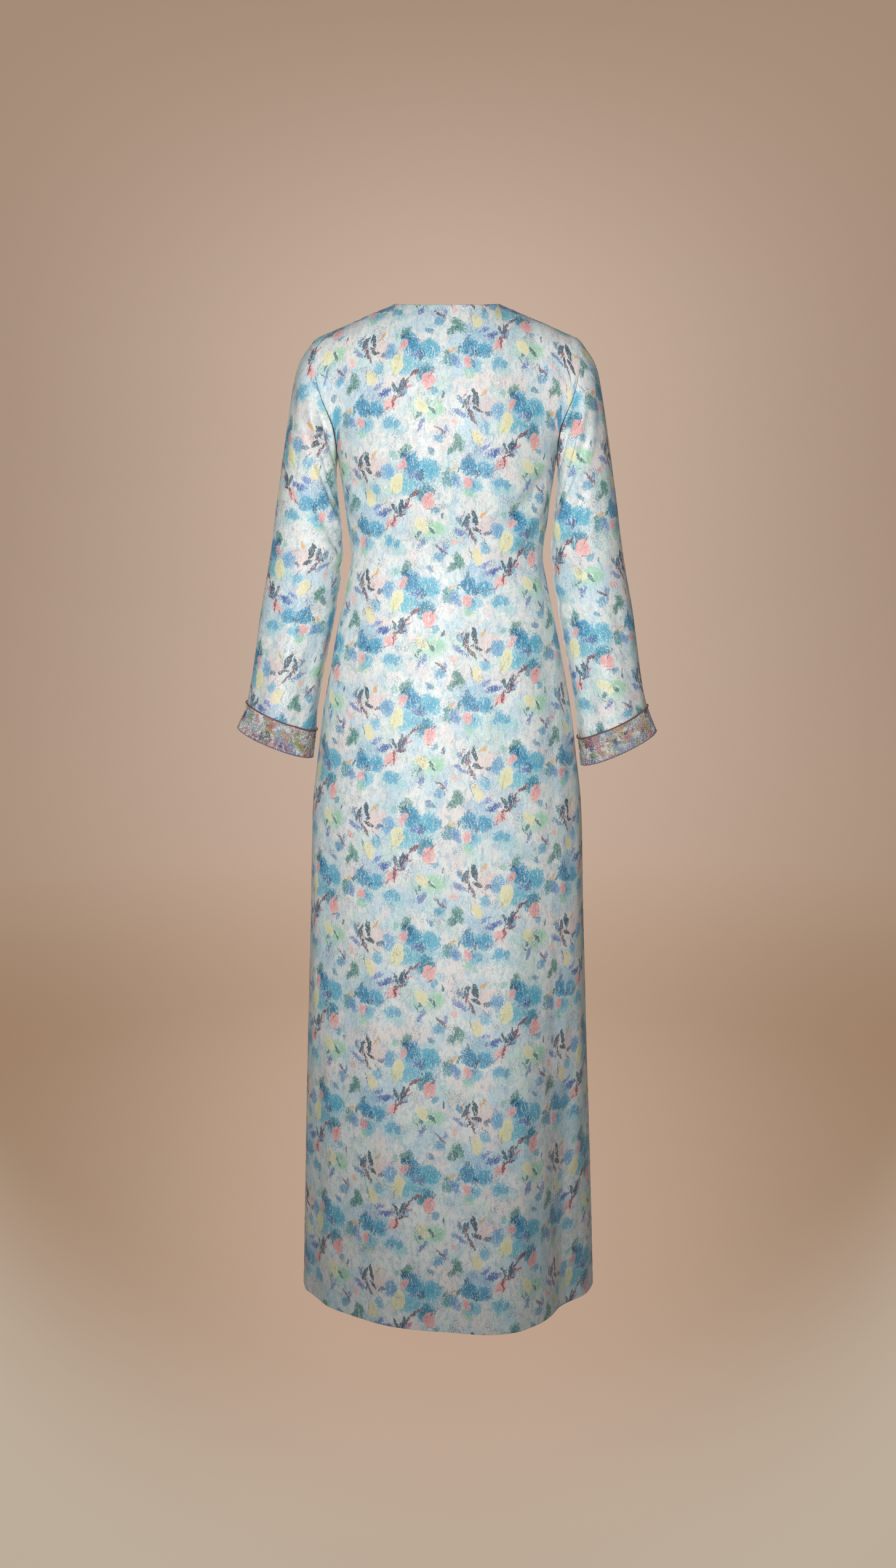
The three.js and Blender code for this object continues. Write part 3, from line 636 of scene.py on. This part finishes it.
# Soft folds, by millimetres from the middle of the back (or of the front) and by drop.
BACK_FOLDS = (
    (-158, 226, -78, 300, -3.4, 12), (-150, 262, -84, 342, 2.2, 12), (-142, 300, -70, 356, -2.0, 10),
    (158, 220, 84, 284, -3.2, 11), (150, 258, 92, 338, 2.4, 12), (145, 292, 60, 350, -2.2, 10),
    (-128, 352, -52, 366, -1.3, 9), (131, 344, 44, 371, -1.2, 9), (-20, 362, 62, 352, -0.8, 11),
    (-96, 402, -118, 690, 1.6, 20), (92, 410, 121, 740, 1.5, 22), (-28, 470, -34, 800, -1.1, 28),
    (34, 560, 48, 1010, 1.0, 30), (-158, 560, -176, 1260, -1.9, 18), (70, 720, 78, 1385, -2.0, 25),
    (-92, 800, -104, 1388, 1.8, 27), (160, 700, 182, 1384, -1.7, 17), (14, 900, 6, 1388, 1.3, 34),
    (-214, 640, -236, 1370, 1.4, 16), (216, 610, 238, 1376, 1.3, 15), (-40, 96, 46, 92, -0.7, 16),
    (-128, 120, -70, 176, -1.0, 16), (126, 128, 84, 182, -0.9, 15),
)
BACK_SEED = 5
SIDE_FLAT, TOP_FLAT = 16, 14  # folds have died out this close to the side seams and to the top
NECK_ROLL, NECK_ROLL_IN, NECK_ROLL_WIDE = 0.45, 2.2, 2.4  # the neckline's turned edge stands up
HEM_DENT, HEM_LINE, HEM_LINE_WIDE, HEM_STITCH = 0.3, 19, 1.6, 1.9  # the hem's stitching, above its edge
EDGE_SHORT = 0.06  # share of its last column by which a panel stops short of the side seam


def panel_rows():
    """Levels of the skirt from the hem up, then shares of the way up the chest."""
    hem = [HEM_DROP, HEM_DROP - 0.8, HEM_DROP - 2.4]
    skirt = np.concatenate([hem, np.linspace(HEM_DROP - 5, 210, 236)])
    chest = np.concatenate([np.linspace(0, 1, 49)[:-1], [0.989, 0.9965, 1]])
    return skirt, chest


def panel_grid(side, across):
    skirt, chest = panel_rows()
    below = body_point(side, across[None, :], skirt[:, None])
    above = yoke_point(side, *np.broadcast_arrays(across[None, :], chest[:, None]))
    return np.concatenate([below, above])


def make_panel(name, side, across, folds, seed, print_shift):
    """A body panel: rows from the hem up, columns from the wearer's right to the left."""
    grid = panel_grid(side, across)
    waist = np.argmin(np.abs(panel_rows()[0] - 340))
    middle = np.argmin(np.abs(across))
    right = arc_lengths(grid, 1, middle)
    up = arc_lengths(grid, 0, waist)
    normals = surface_normals(grid, grid * [1, 1, 0])
    sewn = np.minimum(right[:, -1:] - right, right - right[:, :1])
    to_top = up[-1:] - up
    from_hem = up - up[:1]
    on_shoulder = ease((np.abs(across) - NECK_SHARE + 0.01) / 0.02)[None, :]
    settled = ease(sewn / SIDE_FLAT) * ease(to_top / TOP_FLAT)
    drop = -grid[..., 2]
    relief = settled * (fold_rise(folds, right, drop) + slack(right, drop, seed))
    relief += seam_dip(sewn, up, seed + 1)
    relief += on_shoulder * seam_dip(to_top, right, seed + 2)
    rolled = np.exp(-(((to_top - NECK_ROLL_IN) / NECK_ROLL_WIDE) ** 2))
    relief += (1 - on_shoulder) * NECK_ROLL * rolled
    stitched = np.exp(-(((from_hem - HEM_LINE) / HEM_LINE_WIDE) ** 2))
    relief -= HEM_DENT * stitched * (1 + 0.5 * np.sin(right / HEM_STITCH))
    outer = grid + normals * relief[..., None]
    outer[:, 0] += (outer[:, 1] - outer[:, 0]) * EDGE_SHORT
    outer[:, -1] += (outer[:, -2] - outer[:, -1]) * EDGE_SHORT
    inner = outer - normals * CLOTH
    uv = np.stack([right + print_shift[0], up + print_shift[1]], -1)
    piece = cloth_piece(name + "_cloth", outer, inner, uv, False, satin, wrong_side)
    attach(piece, "root")
    return piece


near_seam = 1 - np.array([0.0029, 0.0085])
half_across = np.concatenate([np.linspace(0, 1, 61)[:-1], near_seam[::-1], [1.0]])
across_back = np.concatenate([-half_across[:0:-1], half_across])
back = make_panel("back", 1, across_back, BACK_FOLDS, BACK_SEED, (0, 0))
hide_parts("back")

# ---- The two fronts
# Cut like the back from the same satin, with the neckline scooped lower, and sewn to it at the
# shoulders and the sides. Down the middle they are closed edge to edge.

FRONT_FOLDS = (
    (150, 240, 84, 300, -1.6, 13), (146, 280, 70, 350, 1.2, 12), (128, 346, 48, 366, -1.2, 9),
    (98, 260, 112, 420, -1.1, 18), (60, 400, 74, 760, 1.4, 22), (150, 420, 166, 900, 1.3, 18),
    (24, 520, 30, 1380, -1.2, 24), (120, 700, 132, 1386, -2.0, 22), (200, 640, 222, 1370, 1.5, 16),
    (80, 900, 84, 1388, 1.6, 24), (96, 130, 124, 180, -0.9, 16),
)
half_across = np.concatenate([[0, 0.0029, 0.0085], np.linspace(0, 1, 61)[1:-1], near_seam[::-1], [1.0]])
for name, across, fold_side in (("front_left", half_across, 1), ("front_right", -half_across[::-1], -1)):
    folds = [(fold_side * x0, y0 + 9 * (fold_side < 0), fold_side * x1, y1, rise, spread)
             for x0, y0, x1, y1, rise, spread in FRONT_FOLDS]
    front = make_panel(name, -1, across, folds, 11 + fold_side, (430, 60))
    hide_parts(name)

# ---- Sleeves
# Set-in sleeves of the same satin in one piece each, widening from the elbow to the wrist. They are
# sewn up under the arm and into the armholes.

SLEEVE = table(
    "along out_x out_drop in_x in_drop mid_y depth",
    (0, 180, 46, 151, 205, 2, 60), (32, 203, 80, 153, 226, 1, 61), (74, 214.5, 128, 151.5, 257, 0, 61),
    (117, 223.5, 185, 147.5, 292, -3, 60), (173, 234, 254, 144.5, 342, -7, 60),
    (249, 246, 339, 152.5, 406, -12, 61), (325, 261, 424, 165.5, 472, -18, 64),
    (412, 273.5, 511, 181.5, 557, -23, 69), (452, 282.5, 552, 185.5, 598, -25, 72),
    (490, 296.5, 588, 190, 637, -26, 76),
)
SLEEVE_END, BAND_END, SEAM_FADE, FOLD_FADE = 452, 490, 60, 16
CUFF_LIFT_FROM, CUFF_LIFT_IN, CUFF_LIFT_OUT = 130, 11, 5  # the wearer's left wrist is held a little higher
MM_PER_DEGREE = 1.1
CAP_FLAT, BAND_FLAT, UNDERARM_FLAT = 14, 12, 10  # folds have died out this close to each seam
CAP_GAP = 0.25  # between a sleeve and its armhole
# "turn" runs from the sleeve's outer line over the back (90) to the underarm (180) and the front (270)
SLEEVE_FOLDS = (
    (88, 12, 166, 42, -8, 10), (78, 36, 160, 74, 5, 12), (70, 66, 150, 112, -4, 13),
    (276, 14, 198, 44, -7, 10), (284, 40, 205, 78, 4, 12), (120, 215, 196, 190, -4, 13),
    (112, 262, 190, 246, -3, 13), (62, 300, 48, 470, -3, 15), (128, 330, 120, 480, -3.5, 16),
    (238, 320, 246, 476, -3.5, 16), (305, 300, 312, 470, -3, 15),
)
FINE_SLEEVE_FOLDS = (
    (92, 22, 158, 56, 4.2, 6), (98, 48, 176, 94, -5.6, 8), (90, 92, 168, 142, 4.0, 8),
    (86, 128, 166, 176, -3.6, 10), (30, 60, 70, 118, -1.2, 12), (118, 168, 178, 150, -1.8, 8),
    (100, 196, 172, 186, 1.8, 9), (84, 236, 150, 228, -0.9, 9), (44, 220, 96, 250, 0.8, 14),
    (20, 300, 24, 452, 1.0, 15), (92, 300, 86, 450, 1.3, 12), (150, 280, 146, 450, 1.2, 12),
    (338, 250, 330, 450, 0.9, 14), (262, 40, 214, 76, -1.6, 7), (256, 150, 200, 168, -1.3, 9),
    (280, 300, 284, 452, 1.1, 13), (212, 300, 216, 452, 1.0, 11),
)


def round_the_arm(folds):
    """Folds given by turn and by distance down the arm, with the turns made into millimetres."""
    return [(t0 * MM_PER_DEGREE, a0, t1 * MM_PER_DEGREE, a1, *size) for t0, a0, t1, a1, *size in folds]


def sleeve_ring(turn, along):
    """The plain sleeve's surface and the middle of its section, for the left arm."""
    at = {column: smooth(SLEEVE, "along", column, along) for column in SLEEVE}
    to_out = (1 + np.cos(np.radians(turn))) / 2
    x = at["in_x"] + (at["out_x"] - at["in_x"]) * to_out
    drop = at["in_drop"] + (at["out_drop"] - at["in_drop"]) * to_out
    around = point(x, at["mid_y"] + at["depth"] * np.sin(np.radians(turn)), -drop)
    middle = point((at["in_x"] + at["out_x"]) / 2, at["mid_y"], -(at["in_drop"] + at["out_drop"]) / 2)
    return around, middle, to_out


def sleeve_point(hand, turn, along):
    """turn may run past 360; the right arm is the left one turned over in X."""
    turn = np.mod(turn + 0.0 * along, 360)
    along = along + 0.0 * turn
    around, middle, to_out = sleeve_ring(turn, along)
    up = 1 - np.minimum(turn, 360 - turn) / 180
    side = np.where(turn <= 180, 1.0, -1.0)
    to_seam = armhole(side, 1, up) - sleeve_ring(turn, 0 * along)[0]
    around = around + to_seam * (1 - ease(along / SEAM_FADE))[..., None]
    out = around - middle
    out /= np.linalg.norm(out, axis=-1, keepdims=True)
    folds = round_the_arm(SLEEVE_FOLDS)
    rise = ease(along / FOLD_FADE) * fold_rise(folds, turn * MM_PER_DEGREE, along, 0.3)
    around = around + out * rise[..., None]
    lifted = ease((along - CUFF_LIFT_FROM) / (SLEEVE_END - CUFF_LIFT_FROM)) * (hand > 0)
    around[..., 2] += (CUFF_LIFT_IN + (CUFF_LIFT_OUT - CUFF_LIFT_IN) * to_out) * lifted
    return around * [1.0 if hand > 0 else -1.0, 1, 1]


def sleeve_print(turn, along):
    """Where the print lies on a sleeve: straight down the arm, and cut by the seam under it."""
    turn, along = turn + 0.0 * along, along + 0.0 * turn
    around, middle, _ = sleeve_ring(np.mod(turn, 360), along)
    ahead = sleeve_ring(np.mod(turn, 360), along + 4)[1] - sleeve_ring(np.mod(turn, 360), along - 4)[1]
    axis = ahead / np.linalg.norm(ahead, axis=-1, keepdims=True)
    steps = np.linalg.norm(np.diff(middle[:, 0], axis=0), axis=-1)
    down_axis = np.concatenate([[0], np.cumsum(steps)])[:, None]
    offset = around - middle
    down = down_axis + (offset * axis).sum(-1)
    outward = np.stack([-axis[..., 2], 0 * turn, axis[..., 0]], -1)
    half_width, depth = 45.0, 63.0  # a middling section of the arm, whose girth the print follows
    angle = np.unwrap(np.arctan2(offset[..., 1] / depth, (offset * outward).sum(-1) / half_width), axis=1)
    angle -= angle[:, len(turns) // 2][:, None]
    fine = np.linspace(-4, 4, 801)
    speed = np.hypot(half_width * np.sin(fine), depth * np.cos(fine))
    length = np.concatenate([[0], np.cumsum((speed[1:] + speed[:-1]) / 2 * (fine[1] - fine[0]))])
    length -= np.interp(0, fine, length)
    size = smooth(SLEEVE, "along", "depth", along) / depth
    return np.stack([np.interp(angle, fine, length) * size, -down], -1)


turns = 180 + np.concatenate([[0, 0.7, 2], np.linspace(4.5, 355.5, 82), [358, 359.3, 360]])
sleeve_alongs = np.concatenate([
    [0, 0.8, 2.4], np.linspace(5, SLEEVE_END - 4, 92), [SLEEVE_END - 2, SLEEVE_END - 0.9, SLEEVE_END - 0.15],
])
armhole_out = np.array([UNDERARM_DROP - TIP_DROP, 0, UNDERARM_X - TIP_X])
armhole_out = armhole_out / np.linalg.norm(armhole_out)
for name, hand, seed in (("left", 1, 21), ("right", -1, 27)):
    grid = sleeve_point(hand, turns[None, :], sleeve_alongs[:, None])
    grid[:, -1] = grid[:, 0]
    right = arc_lengths(grid, 1, len(turns) // 2)
    down = arc_lengths(grid, 0, 0)
    centres = grid.mean(1, keepdims=True)
    normals = surface_normals(grid, grid - centres)
    joined = normals[:, 0] + normals[:, -1]
    normals[:, 0] = normals[:, -1] = joined / np.linalg.norm(joined, axis=-1, keepdims=True)
    to_seam = np.minimum(right[:, -1:] - right, right - right[:, :1])
    to_cap, to_band = down, down[-1:] - down
    settled = ease(to_cap / CAP_FLAT) * ease(to_band / BAND_FLAT) * ease(to_seam / UNDERARM_FLAT)
    fine = round_the_arm(FINE_SLEEVE_FOLDS)
    round_arm = np.mod(turns, 360)[None, :] * MM_PER_DEGREE
    relief = settled * (fold_rise(fine, round_arm, sleeve_alongs[:, None]) + 0.8 * slack(right, down, seed))
    relief += seam_dip(to_cap, right, seed + 1) + 0.8 * seam_dip(to_seam, down, seed + 2)
    relief += 0.6 * seam_dip(to_band, right, seed + 3)
    outer = grid + normals * relief[..., None]
    outer[0] += armhole_out * [hand, 1, 1] * CAP_GAP
    outer[:, -1] = outer[:, 0]
    inner = outer - normals * CLOTH
    inner[:, -1] = inner[:, 0]
    uv = sleeve_print(turns[None, :], sleeve_alongs[:, None]) + [880 + 43 * hand, 470 + 31 * hand]
    sleeve = cloth_piece("sleeve_cloth_" + name, outer, inner, uv, True, satin, wrong_side)
    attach(sleeve, "root")
    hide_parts("sleeve_" + name)

# ---- Wrist bands
# A stiff band of embroidery round each wrist: a printed base cloth closely covered with small glass
# seed beads, and finished along its lower edge with a row of larger dark beads.


def painted_patches(tree, mm, ground, patches):
    """Patches of thread or bead colour, each in drifts of its own."""
    canvas = linear(ground)
    for number, (colour, scale, low, strength) in enumerate(patches):
        shift = (61 * number + 13, 37 * number + 5, 0)
        shifted = add(tree, "VectorMath", {"operation": "ADD"}, {0: mm, 1: shift})
        cloud = add(tree, "TexNoise", FLAT, {"Vector": shifted, "Scale": scale, "Detail": 2.0})
        cover = add(
            tree, "MapRange", SMOOTH,
            {"Value": cloud, "From Min": low, "From Max": low + 0.05, "To Max": strength},
        )
        canvas = add(tree, "Mix", COLOURS, {0: cover, 6: canvas, 7: linear(colour)}, 2)
    return canvas


BAND_PATCHES = (
    ("#b9aa94", 0.03, 0.5, 0.85), ("#c98f92", 0.035, 0.55, 0.85), ("#86a8c4", 0.035, 0.55, 0.88),
    ("#a3a45e", 0.04, 0.57, 0.85), ("#3f4a66", 0.045, 0.58, 0.85), ("#b8656c", 0.055, 0.63, 0.85),
    ("#e2e6e6", 0.07, 0.6, 0.85),
)

# Seed beads of glass, silver-lined and opaque by turns: small and round, each with its own spark.
beads, tree, glass = new_material("glass_seed_beads")
mm = cloth_place(tree)
patches = painted_patches(tree, mm, "#d2d6d5", BAND_PATCHES)
each = add(tree, "TexWhiteNoise", FLAT, {"Vector": mm}, "Value")
shade = add(tree, "MapRange", {}, {"Value": each, "To Min": 0.45, "To Max": 1.2})
beaded = add(tree, "VectorMath", {"operation": "SCALE"}, {0: patches, "Scale": shade})
tree.links.new(beaded, glass.inputs["Base Color"])
glass.inputs["Roughness"].default_value = 0.25
glass.inputs["Coat Weight"].default_value = 0.3

# The base cloth between the beads, worked over in dark thread.
beaded_cloth, tree, thread_work = new_material("embroidered_band_cloth")
mm = cloth_place(tree)
patches = painted_patches(tree, mm, "#8d8b8a", [(c, s, low, 0.6) for c, s, low, _ in BAND_PATCHES])
tree.links.new(patches, thread_work.inputs["Base Color"])
thread_work.inputs["Roughness"].default_value = 0.7

# Dark rose and navy beads of the edging.
edging, tree, glass = new_material("glass_edge_beads")
mm = cloth_place(tree)
each = add(tree, "TexWhiteNoise", FLAT, {"Vector": mm}, "Value")
some = add(tree, "Math", {"operation": "GREATER_THAN"}, {0: each, 1: 0.55})
dark = add(tree, "Mix", COLOURS, {0: some, 6: linear("#8a6c78"), 7: linear("#56607c")}, 2)
tree.links.new(dark, glass.inputs["Base Color"])
glass.inputs["Roughness"].default_value = 0.3

BAND_THICK = 1.9
BAND_UNDER, BAND_ROUND, BAND_ROUND_WIDE = 0.35, 0.45, 1.6  # under the beads, and rounded at its edges
BEAD_PITCH, BEAD_RADIUS, EDGE_PITCH, EDGE_RADIUS = 2.0, 1.0, 2.8, 1.25
BEAD_ROW = BEAD_PITCH * 0.87  # each row nests between the beads of the one above
BEADS_FROM, BEADS_CLEAR = 2.6, 3.2  # the first row below the seam, and the height without rows in all
BEADS_MISSING = 0.08  # share of the beads left out, as if lost
BEAD_SUNK, EDGE_SUNK, EDGE_UP = 0.35, 0.4, 1.0  # into the cloth, and up from the band's lower edge


def domes(name, centres, outs, sizes, places, material):
    """Small round beads as half balls: centres, outward directions, radii and the print's place."""
    side = np.cross(outs, [0.13, 0.27, 0.95])
    side /= np.linalg.norm(side, axis=1, keepdims=True)
    other = np.cross(outs, side)
    rings = []
    for radius, height in ((1.0, -0.15), (0.74, 0.62)):
        for k in range(6):
            turn = k * np.pi / 3 + (0.5 if height > 0 else 0)
            rings.append(
                centres
                + sizes[:, None] * (radius * (np.cos(turn) * side + np.sin(turn) * other) + height * outs)
            )
    rings.append(centres + sizes[:, None] * outs * 0.95)
    corners = np.stack(rings, 1)  # bead, corner, xyz
    faces = []
    for k in range(6):
        n = (k + 1) % 6
        faces += [(k, n, 6 + k), (n, 6 + n, 6 + k), (6 + k, 6 + n, 12)]
    faces = np.array(faces)
    count = len(centres)
    all_faces = (faces[None] + 13 * np.arange(count)[:, None, None]).reshape(-1, 3)
    piece = new_piece(name, (corners.reshape(-1, 3) * MM).tolist(), all_faces.tolist(), material)
    lay_print(piece, np.repeat(places, 3 * len(faces), axis=0))
    return piece


def band_place(hand, turn, along, off):
    """A place on the band, off millimetres clear of its face, and the way out from there."""
    here = sleeve_point(hand, turn, along)
    around = sleeve_point(hand, turn + 0.6, along) - sleeve_point(hand, turn - 0.6, along)
    down = sleeve_point(hand, turn, along + 0.6) - sleeve_point(hand, turn, along - 0.6)
    out = np.cross(around, down)
    out /= np.linalg.norm(out, axis=-1, keepdims=True)
    centre = sleeve_point(hand, np.arange(0, 360, 10.0), 470.0 * np.ones(36)).mean(0)
    if ((here - centre) * out).sum() < 0:
        out = -out
    return here + out * off, out


band_turns = 180 + np.linspace(0, 360, 145)
band_alongs = np.concatenate([
    [SLEEVE_END + 0.2, SLEEVE_END + 0.8], np.linspace(SLEEVE_END + 2.5, BAND_END - 1.5, 16),
    [BAND_END - 0.4, BAND_END],
])
for name, hand, seed in (("left", 1, 41), ("right", -1, 47)):
    rng = np.random.default_rng(seed)
    outer, normals = band_place(hand, band_turns[None, :], band_alongs[:, None], 0)
    to_edge = np.minimum(band_alongs - band_alongs[0], band_alongs[-1] - band_alongs)
    round_edge = BAND_ROUND * ease(1 - to_edge / BAND_ROUND_WIDE)
    outer = outer - normals * (BAND_UNDER + round_edge[:, None, None])
    outer[:, -1], normals[:, -1] = outer[:, 0], normals[:, 0]
    inner = outer - normals * BAND_THICK
    right, down = arc_lengths(outer, 1, 0), arc_lengths(outer, 0, 0)
    uv = np.stack([right + 1300 + 500 * hand, -down], -1)
    band = cloth_piece("band_cloth_" + name, outer, inner, uv, True, beaded_cloth, wrong_side)
    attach(band, "root")
    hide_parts("wrist_band_" + name)

    girth = float(right[8, -1])  # round the middle of the band
    rows = int((BAND_END - SLEEVE_END - BEADS_CLEAR) / BEAD_ROW)
    columns = int(girth / BEAD_PITCH)
    row, column = np.meshgrid(np.arange(rows), np.arange(columns), indexing="ij")
    share = (column + 0.5 * (row % 2) + rng.uniform(-0.24, 0.24, row.shape)) / columns
    along = SLEEVE_END + BEADS_FROM + row * BEAD_ROW + rng.uniform(-0.3, 0.3, row.shape)
    kept = rng.random(row.shape) > BEADS_MISSING
    turn, along = (180 + share * 360)[kept], along[kept]
    centres, outs = band_place(hand, turn, along, -BEAD_SUNK)
    sizes = BEAD_RADIUS * rng.uniform(0.72, 1.05, len(turn))
    places = np.stack([share[kept] * girth + 1300 + 500 * hand, -(along - SLEEVE_END)], -1)
    sewn_beads = domes("wrist_beads_" + name, centres, outs, sizes, places, beads)
    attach(sewn_beads, "root")

    count = int(girth / EDGE_PITCH)
    turn = 180 + (np.arange(count) + rng.uniform(-0.1, 0.1, count)) / count * 360
    centres, outs = band_place(hand, turn, np.full(count, BAND_END - EDGE_UP), -EDGE_SUNK)
    places = np.stack([turn * 3, np.zeros(count)], -1)
    edge_beads = domes(
        "wrist_edging_" + name, centres, outs, EDGE_RADIUS * rng.uniform(0.85, 1.1, count), places, edging
    )
    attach(edge_beads, "root")

# ---- Wrist cords
# A cord twisted from two dark strands of matt thread, laid once round each wrist and sewn down over
# the seam that joins the band to its sleeve.

cord_thread, tree, thread_work = new_material("twisted_cord_thread")
thread_work.inputs["Base Color"].default_value = linear("#7c5557")
thread_work.inputs["Roughness"].default_value = 0.55
STRAND_RADIUS, STRAND_OFF, CORD_OFF, TWIST_PITCH = 0.62, 0.5, 1.2, 4.2
for name, hand in (("left", 1), ("right", -1)):
    count, sides = 900, 6
    turn = np.arange(count) / count * 360
    middle, out = band_place(hand, turn, np.full(count, float(SLEEVE_END)), CORD_OFF)
    ahead = np.roll(middle, -1, 0) - np.roll(middle, 1, 0)
    ahead /= np.linalg.norm(ahead, axis=1, keepdims=True)
    down = np.cross(ahead, out)
    steps = np.linalg.norm(np.diff(middle, axis=0, append=middle[:1]), axis=1)
    gone = np.concatenate([[0], np.cumsum(steps)])
    twists = round(gone[-1] / TWIST_PITCH)
    corners, faces = [], []
    for strand in range(2):
        phase = gone[:-1] / gone[-1] * twists * 2 * np.pi + strand * np.pi
        line = middle + STRAND_OFF * (np.cos(phase)[:, None] * out + np.sin(phase)[:, None] * down)
        for k in range(sides):
            angle = 2 * np.pi * k / sides
            corners.append(line + STRAND_RADIUS * (np.cos(angle) * out + np.sin(angle) * down))
        start = strand * sides * count
        ring = np.arange(count)
        for k in range(sides):
            a, b = start + k * count, start + (k + 1) % sides * count
            faces.append(np.stack([a + ring, a + (ring + 1) % count, b + (ring + 1) % count, b + ring], 1))
    corners, faces = np.concatenate(corners) * MM, np.concatenate(faces)
    if inside_out(corners, faces):
        faces = faces[:, ::-1]
    cord = new_piece("twisted_cord_" + name, corners.tolist(), faces.tolist(), cord_thread)
    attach(cord, "root")
    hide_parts("wrist_cord_" + name)

# ---- Stage
# A pale warm paper backdrop that curves up all round from the floor, and two soft studio lights. The
# paper's own faint glow stands for the lights that are turned on it, and fades up the wall and aside.

backdrop_paper, tree, paper = new_material("backdrop_paper")
here = add(tree, "NewGeometry", {}, {}, "Position")
height = add(tree, "SeparateXYZ", {}, {0: here}, "Z")
on_floor = add(tree, "VectorMath", {"operation": "MULTIPLY"}, {0: here, 1: (1, 1, 0)})
reach = add(tree, "VectorMath", {"operation": "LENGTH"}, {0: on_floor}, "Value")
behind = add(tree, "MapRange", SMOOTH, {"Value": reach, "From Min": 2.2, "From Max": 6.2})
sideways = add(tree, "SeparateXYZ", {}, {0: here}, "X")
off_middle = add(tree, "Math", {"operation": "ABSOLUTE"}, {0: sideways})
dimmed = add(tree, "MapRange", SMOOTH, {"Value": off_middle, "From Min": 0.0, "From Max": 2.6})
aloft = add(tree, "MapRange", SMOOTH, {"Value": height, "From Min": 0.2, "From Max": 2.2})
depth = add(tree, "SeparateXYZ", {}, {0: here}, "Y")
bow = add(tree, "Math", {"operation": "MULTIPLY"}, {0: sideways, 1: sideways})
sweep = add(tree, "Math", {"operation": "MULTIPLY_ADD"}, {0: bow, 1: 1.3, 2: depth})
nearer = add(tree, "MapRange", SMOOTH, {"Value": sweep, "From Min": -0.35, "From Max": 0.7})
spread_out = add(tree, "Math", {"operation": "MULTIPLY_ADD"}, {0: reach, 1: 0.5, 2: 1.5})
off_line = add(tree, "Math", {"operation": "DIVIDE"}, {0: off_middle, 1: spread_out})
aside = add(tree, "MapRange", SMOOTH, {"Value": off_line, "From Min": 0.05, "From Max": 0.45})
floor_dim = add(tree, "Mix", COLOURS, {0: aside, 6: linear("#b2957f"), 7: linear("#94775d")}, 2)
floor_glow = add(tree, "Mix", COLOURS, {0: nearer, 6: floor_dim, 7: linear("#b3a391")}, 2)
wall_glow = add(tree, "Mix", COLOURS, {0: dimmed, 6: linear("#c4ab9a"), 7: linear("#9a836f")}, 2)
wall_dim = add(tree, "Mix", COLOURS, {0: aloft, 6: wall_glow, 7: linear("#9d8571")}, 2)
glow = add(tree, "Mix", COLOURS, {0: behind, 6: floor_glow, 7: wall_dim}, 2)
tree.links.new(glow, paper.inputs["Emission Color"])
paper.inputs["Emission Strength"].default_value = 1.02
backdrop_paper.cycles.emission_sampling = "NONE"
paper.inputs["Base Color"].default_value = linear("#5f5852")
paper.inputs["Roughness"].default_value = 0.95
FLOOR, FLAT_RADIUS, CURVE, WALL_TOP = -1.6, 4.5, 2.0, 9.0
profile = [(0.5, 0.0), (FLAT_RADIUS, 0.0)]
for t in np.linspace(0.1, math.pi / 2, 16):
    profile.append((FLAT_RADIUS + CURVE * math.sin(t), CURVE * (1 - math.cos(t))))
profile.append((FLAT_RADIUS + CURVE, WALL_TOP))
sides = 96
corners = [
    (r * math.cos(2 * math.pi * k / sides), r * math.sin(2 * math.pi * k / sides), FLOOR + z)
    for r, z in profile for k in range(sides)
]
faces = [
    ((j + 1) * sides + k, (j + 1) * sides + (k + 1) % sides, j * sides + (k + 1) % sides, j * sides + k)
    for j in range(len(profile) - 1) for k in range(sides)
]
faces.append(tuple(range(sides)))
backdrop = new_piece("backdrop", corners, faces, backdrop_paper)
backdrop.visible_diffuse = False  # the world alone fills the shadows


def soft_light(name, place, target, size, power, spread):
    """A round softbox, aimed at target, with a grid that narrows its spread to so many degrees."""
    data = bpy.data.lights.new(name, "AREA")
    data.shape = "DISK"
    data.size = size
    data.energy = power
    data.color = (0.98, 0.99, 1.0)
    data.spread = math.radians(spread)
    lamp = bpy.data.objects.new(name, data)
    lamp.location = place
    way = Vector(target) - Vector(place)
    lamp.rotation_euler = way.to_track_quat("-Z", "Y").to_euler()
    bpy.context.scene.collection.objects.link(lamp)


soft_light("key", (0.3, 2.25, 0.05), (0, 0, -0.38), 1.3, 7.35, 59.5)
soft_light("front", (0.1, -3.0, -0.3), (0, 0, -0.5), 2.0, 13, 75)
world = bpy.data.worlds.new("studio")
world.use_nodes = True
world.node_tree.nodes["Background"].inputs["Color"].default_value = linear("#e9ecee")
world.node_tree.nodes["Background"].inputs["Strength"].default_value = 0.16
bpy.context.scene.world = world
bpy.context.scene.view_settings.view_transform = "Standard"
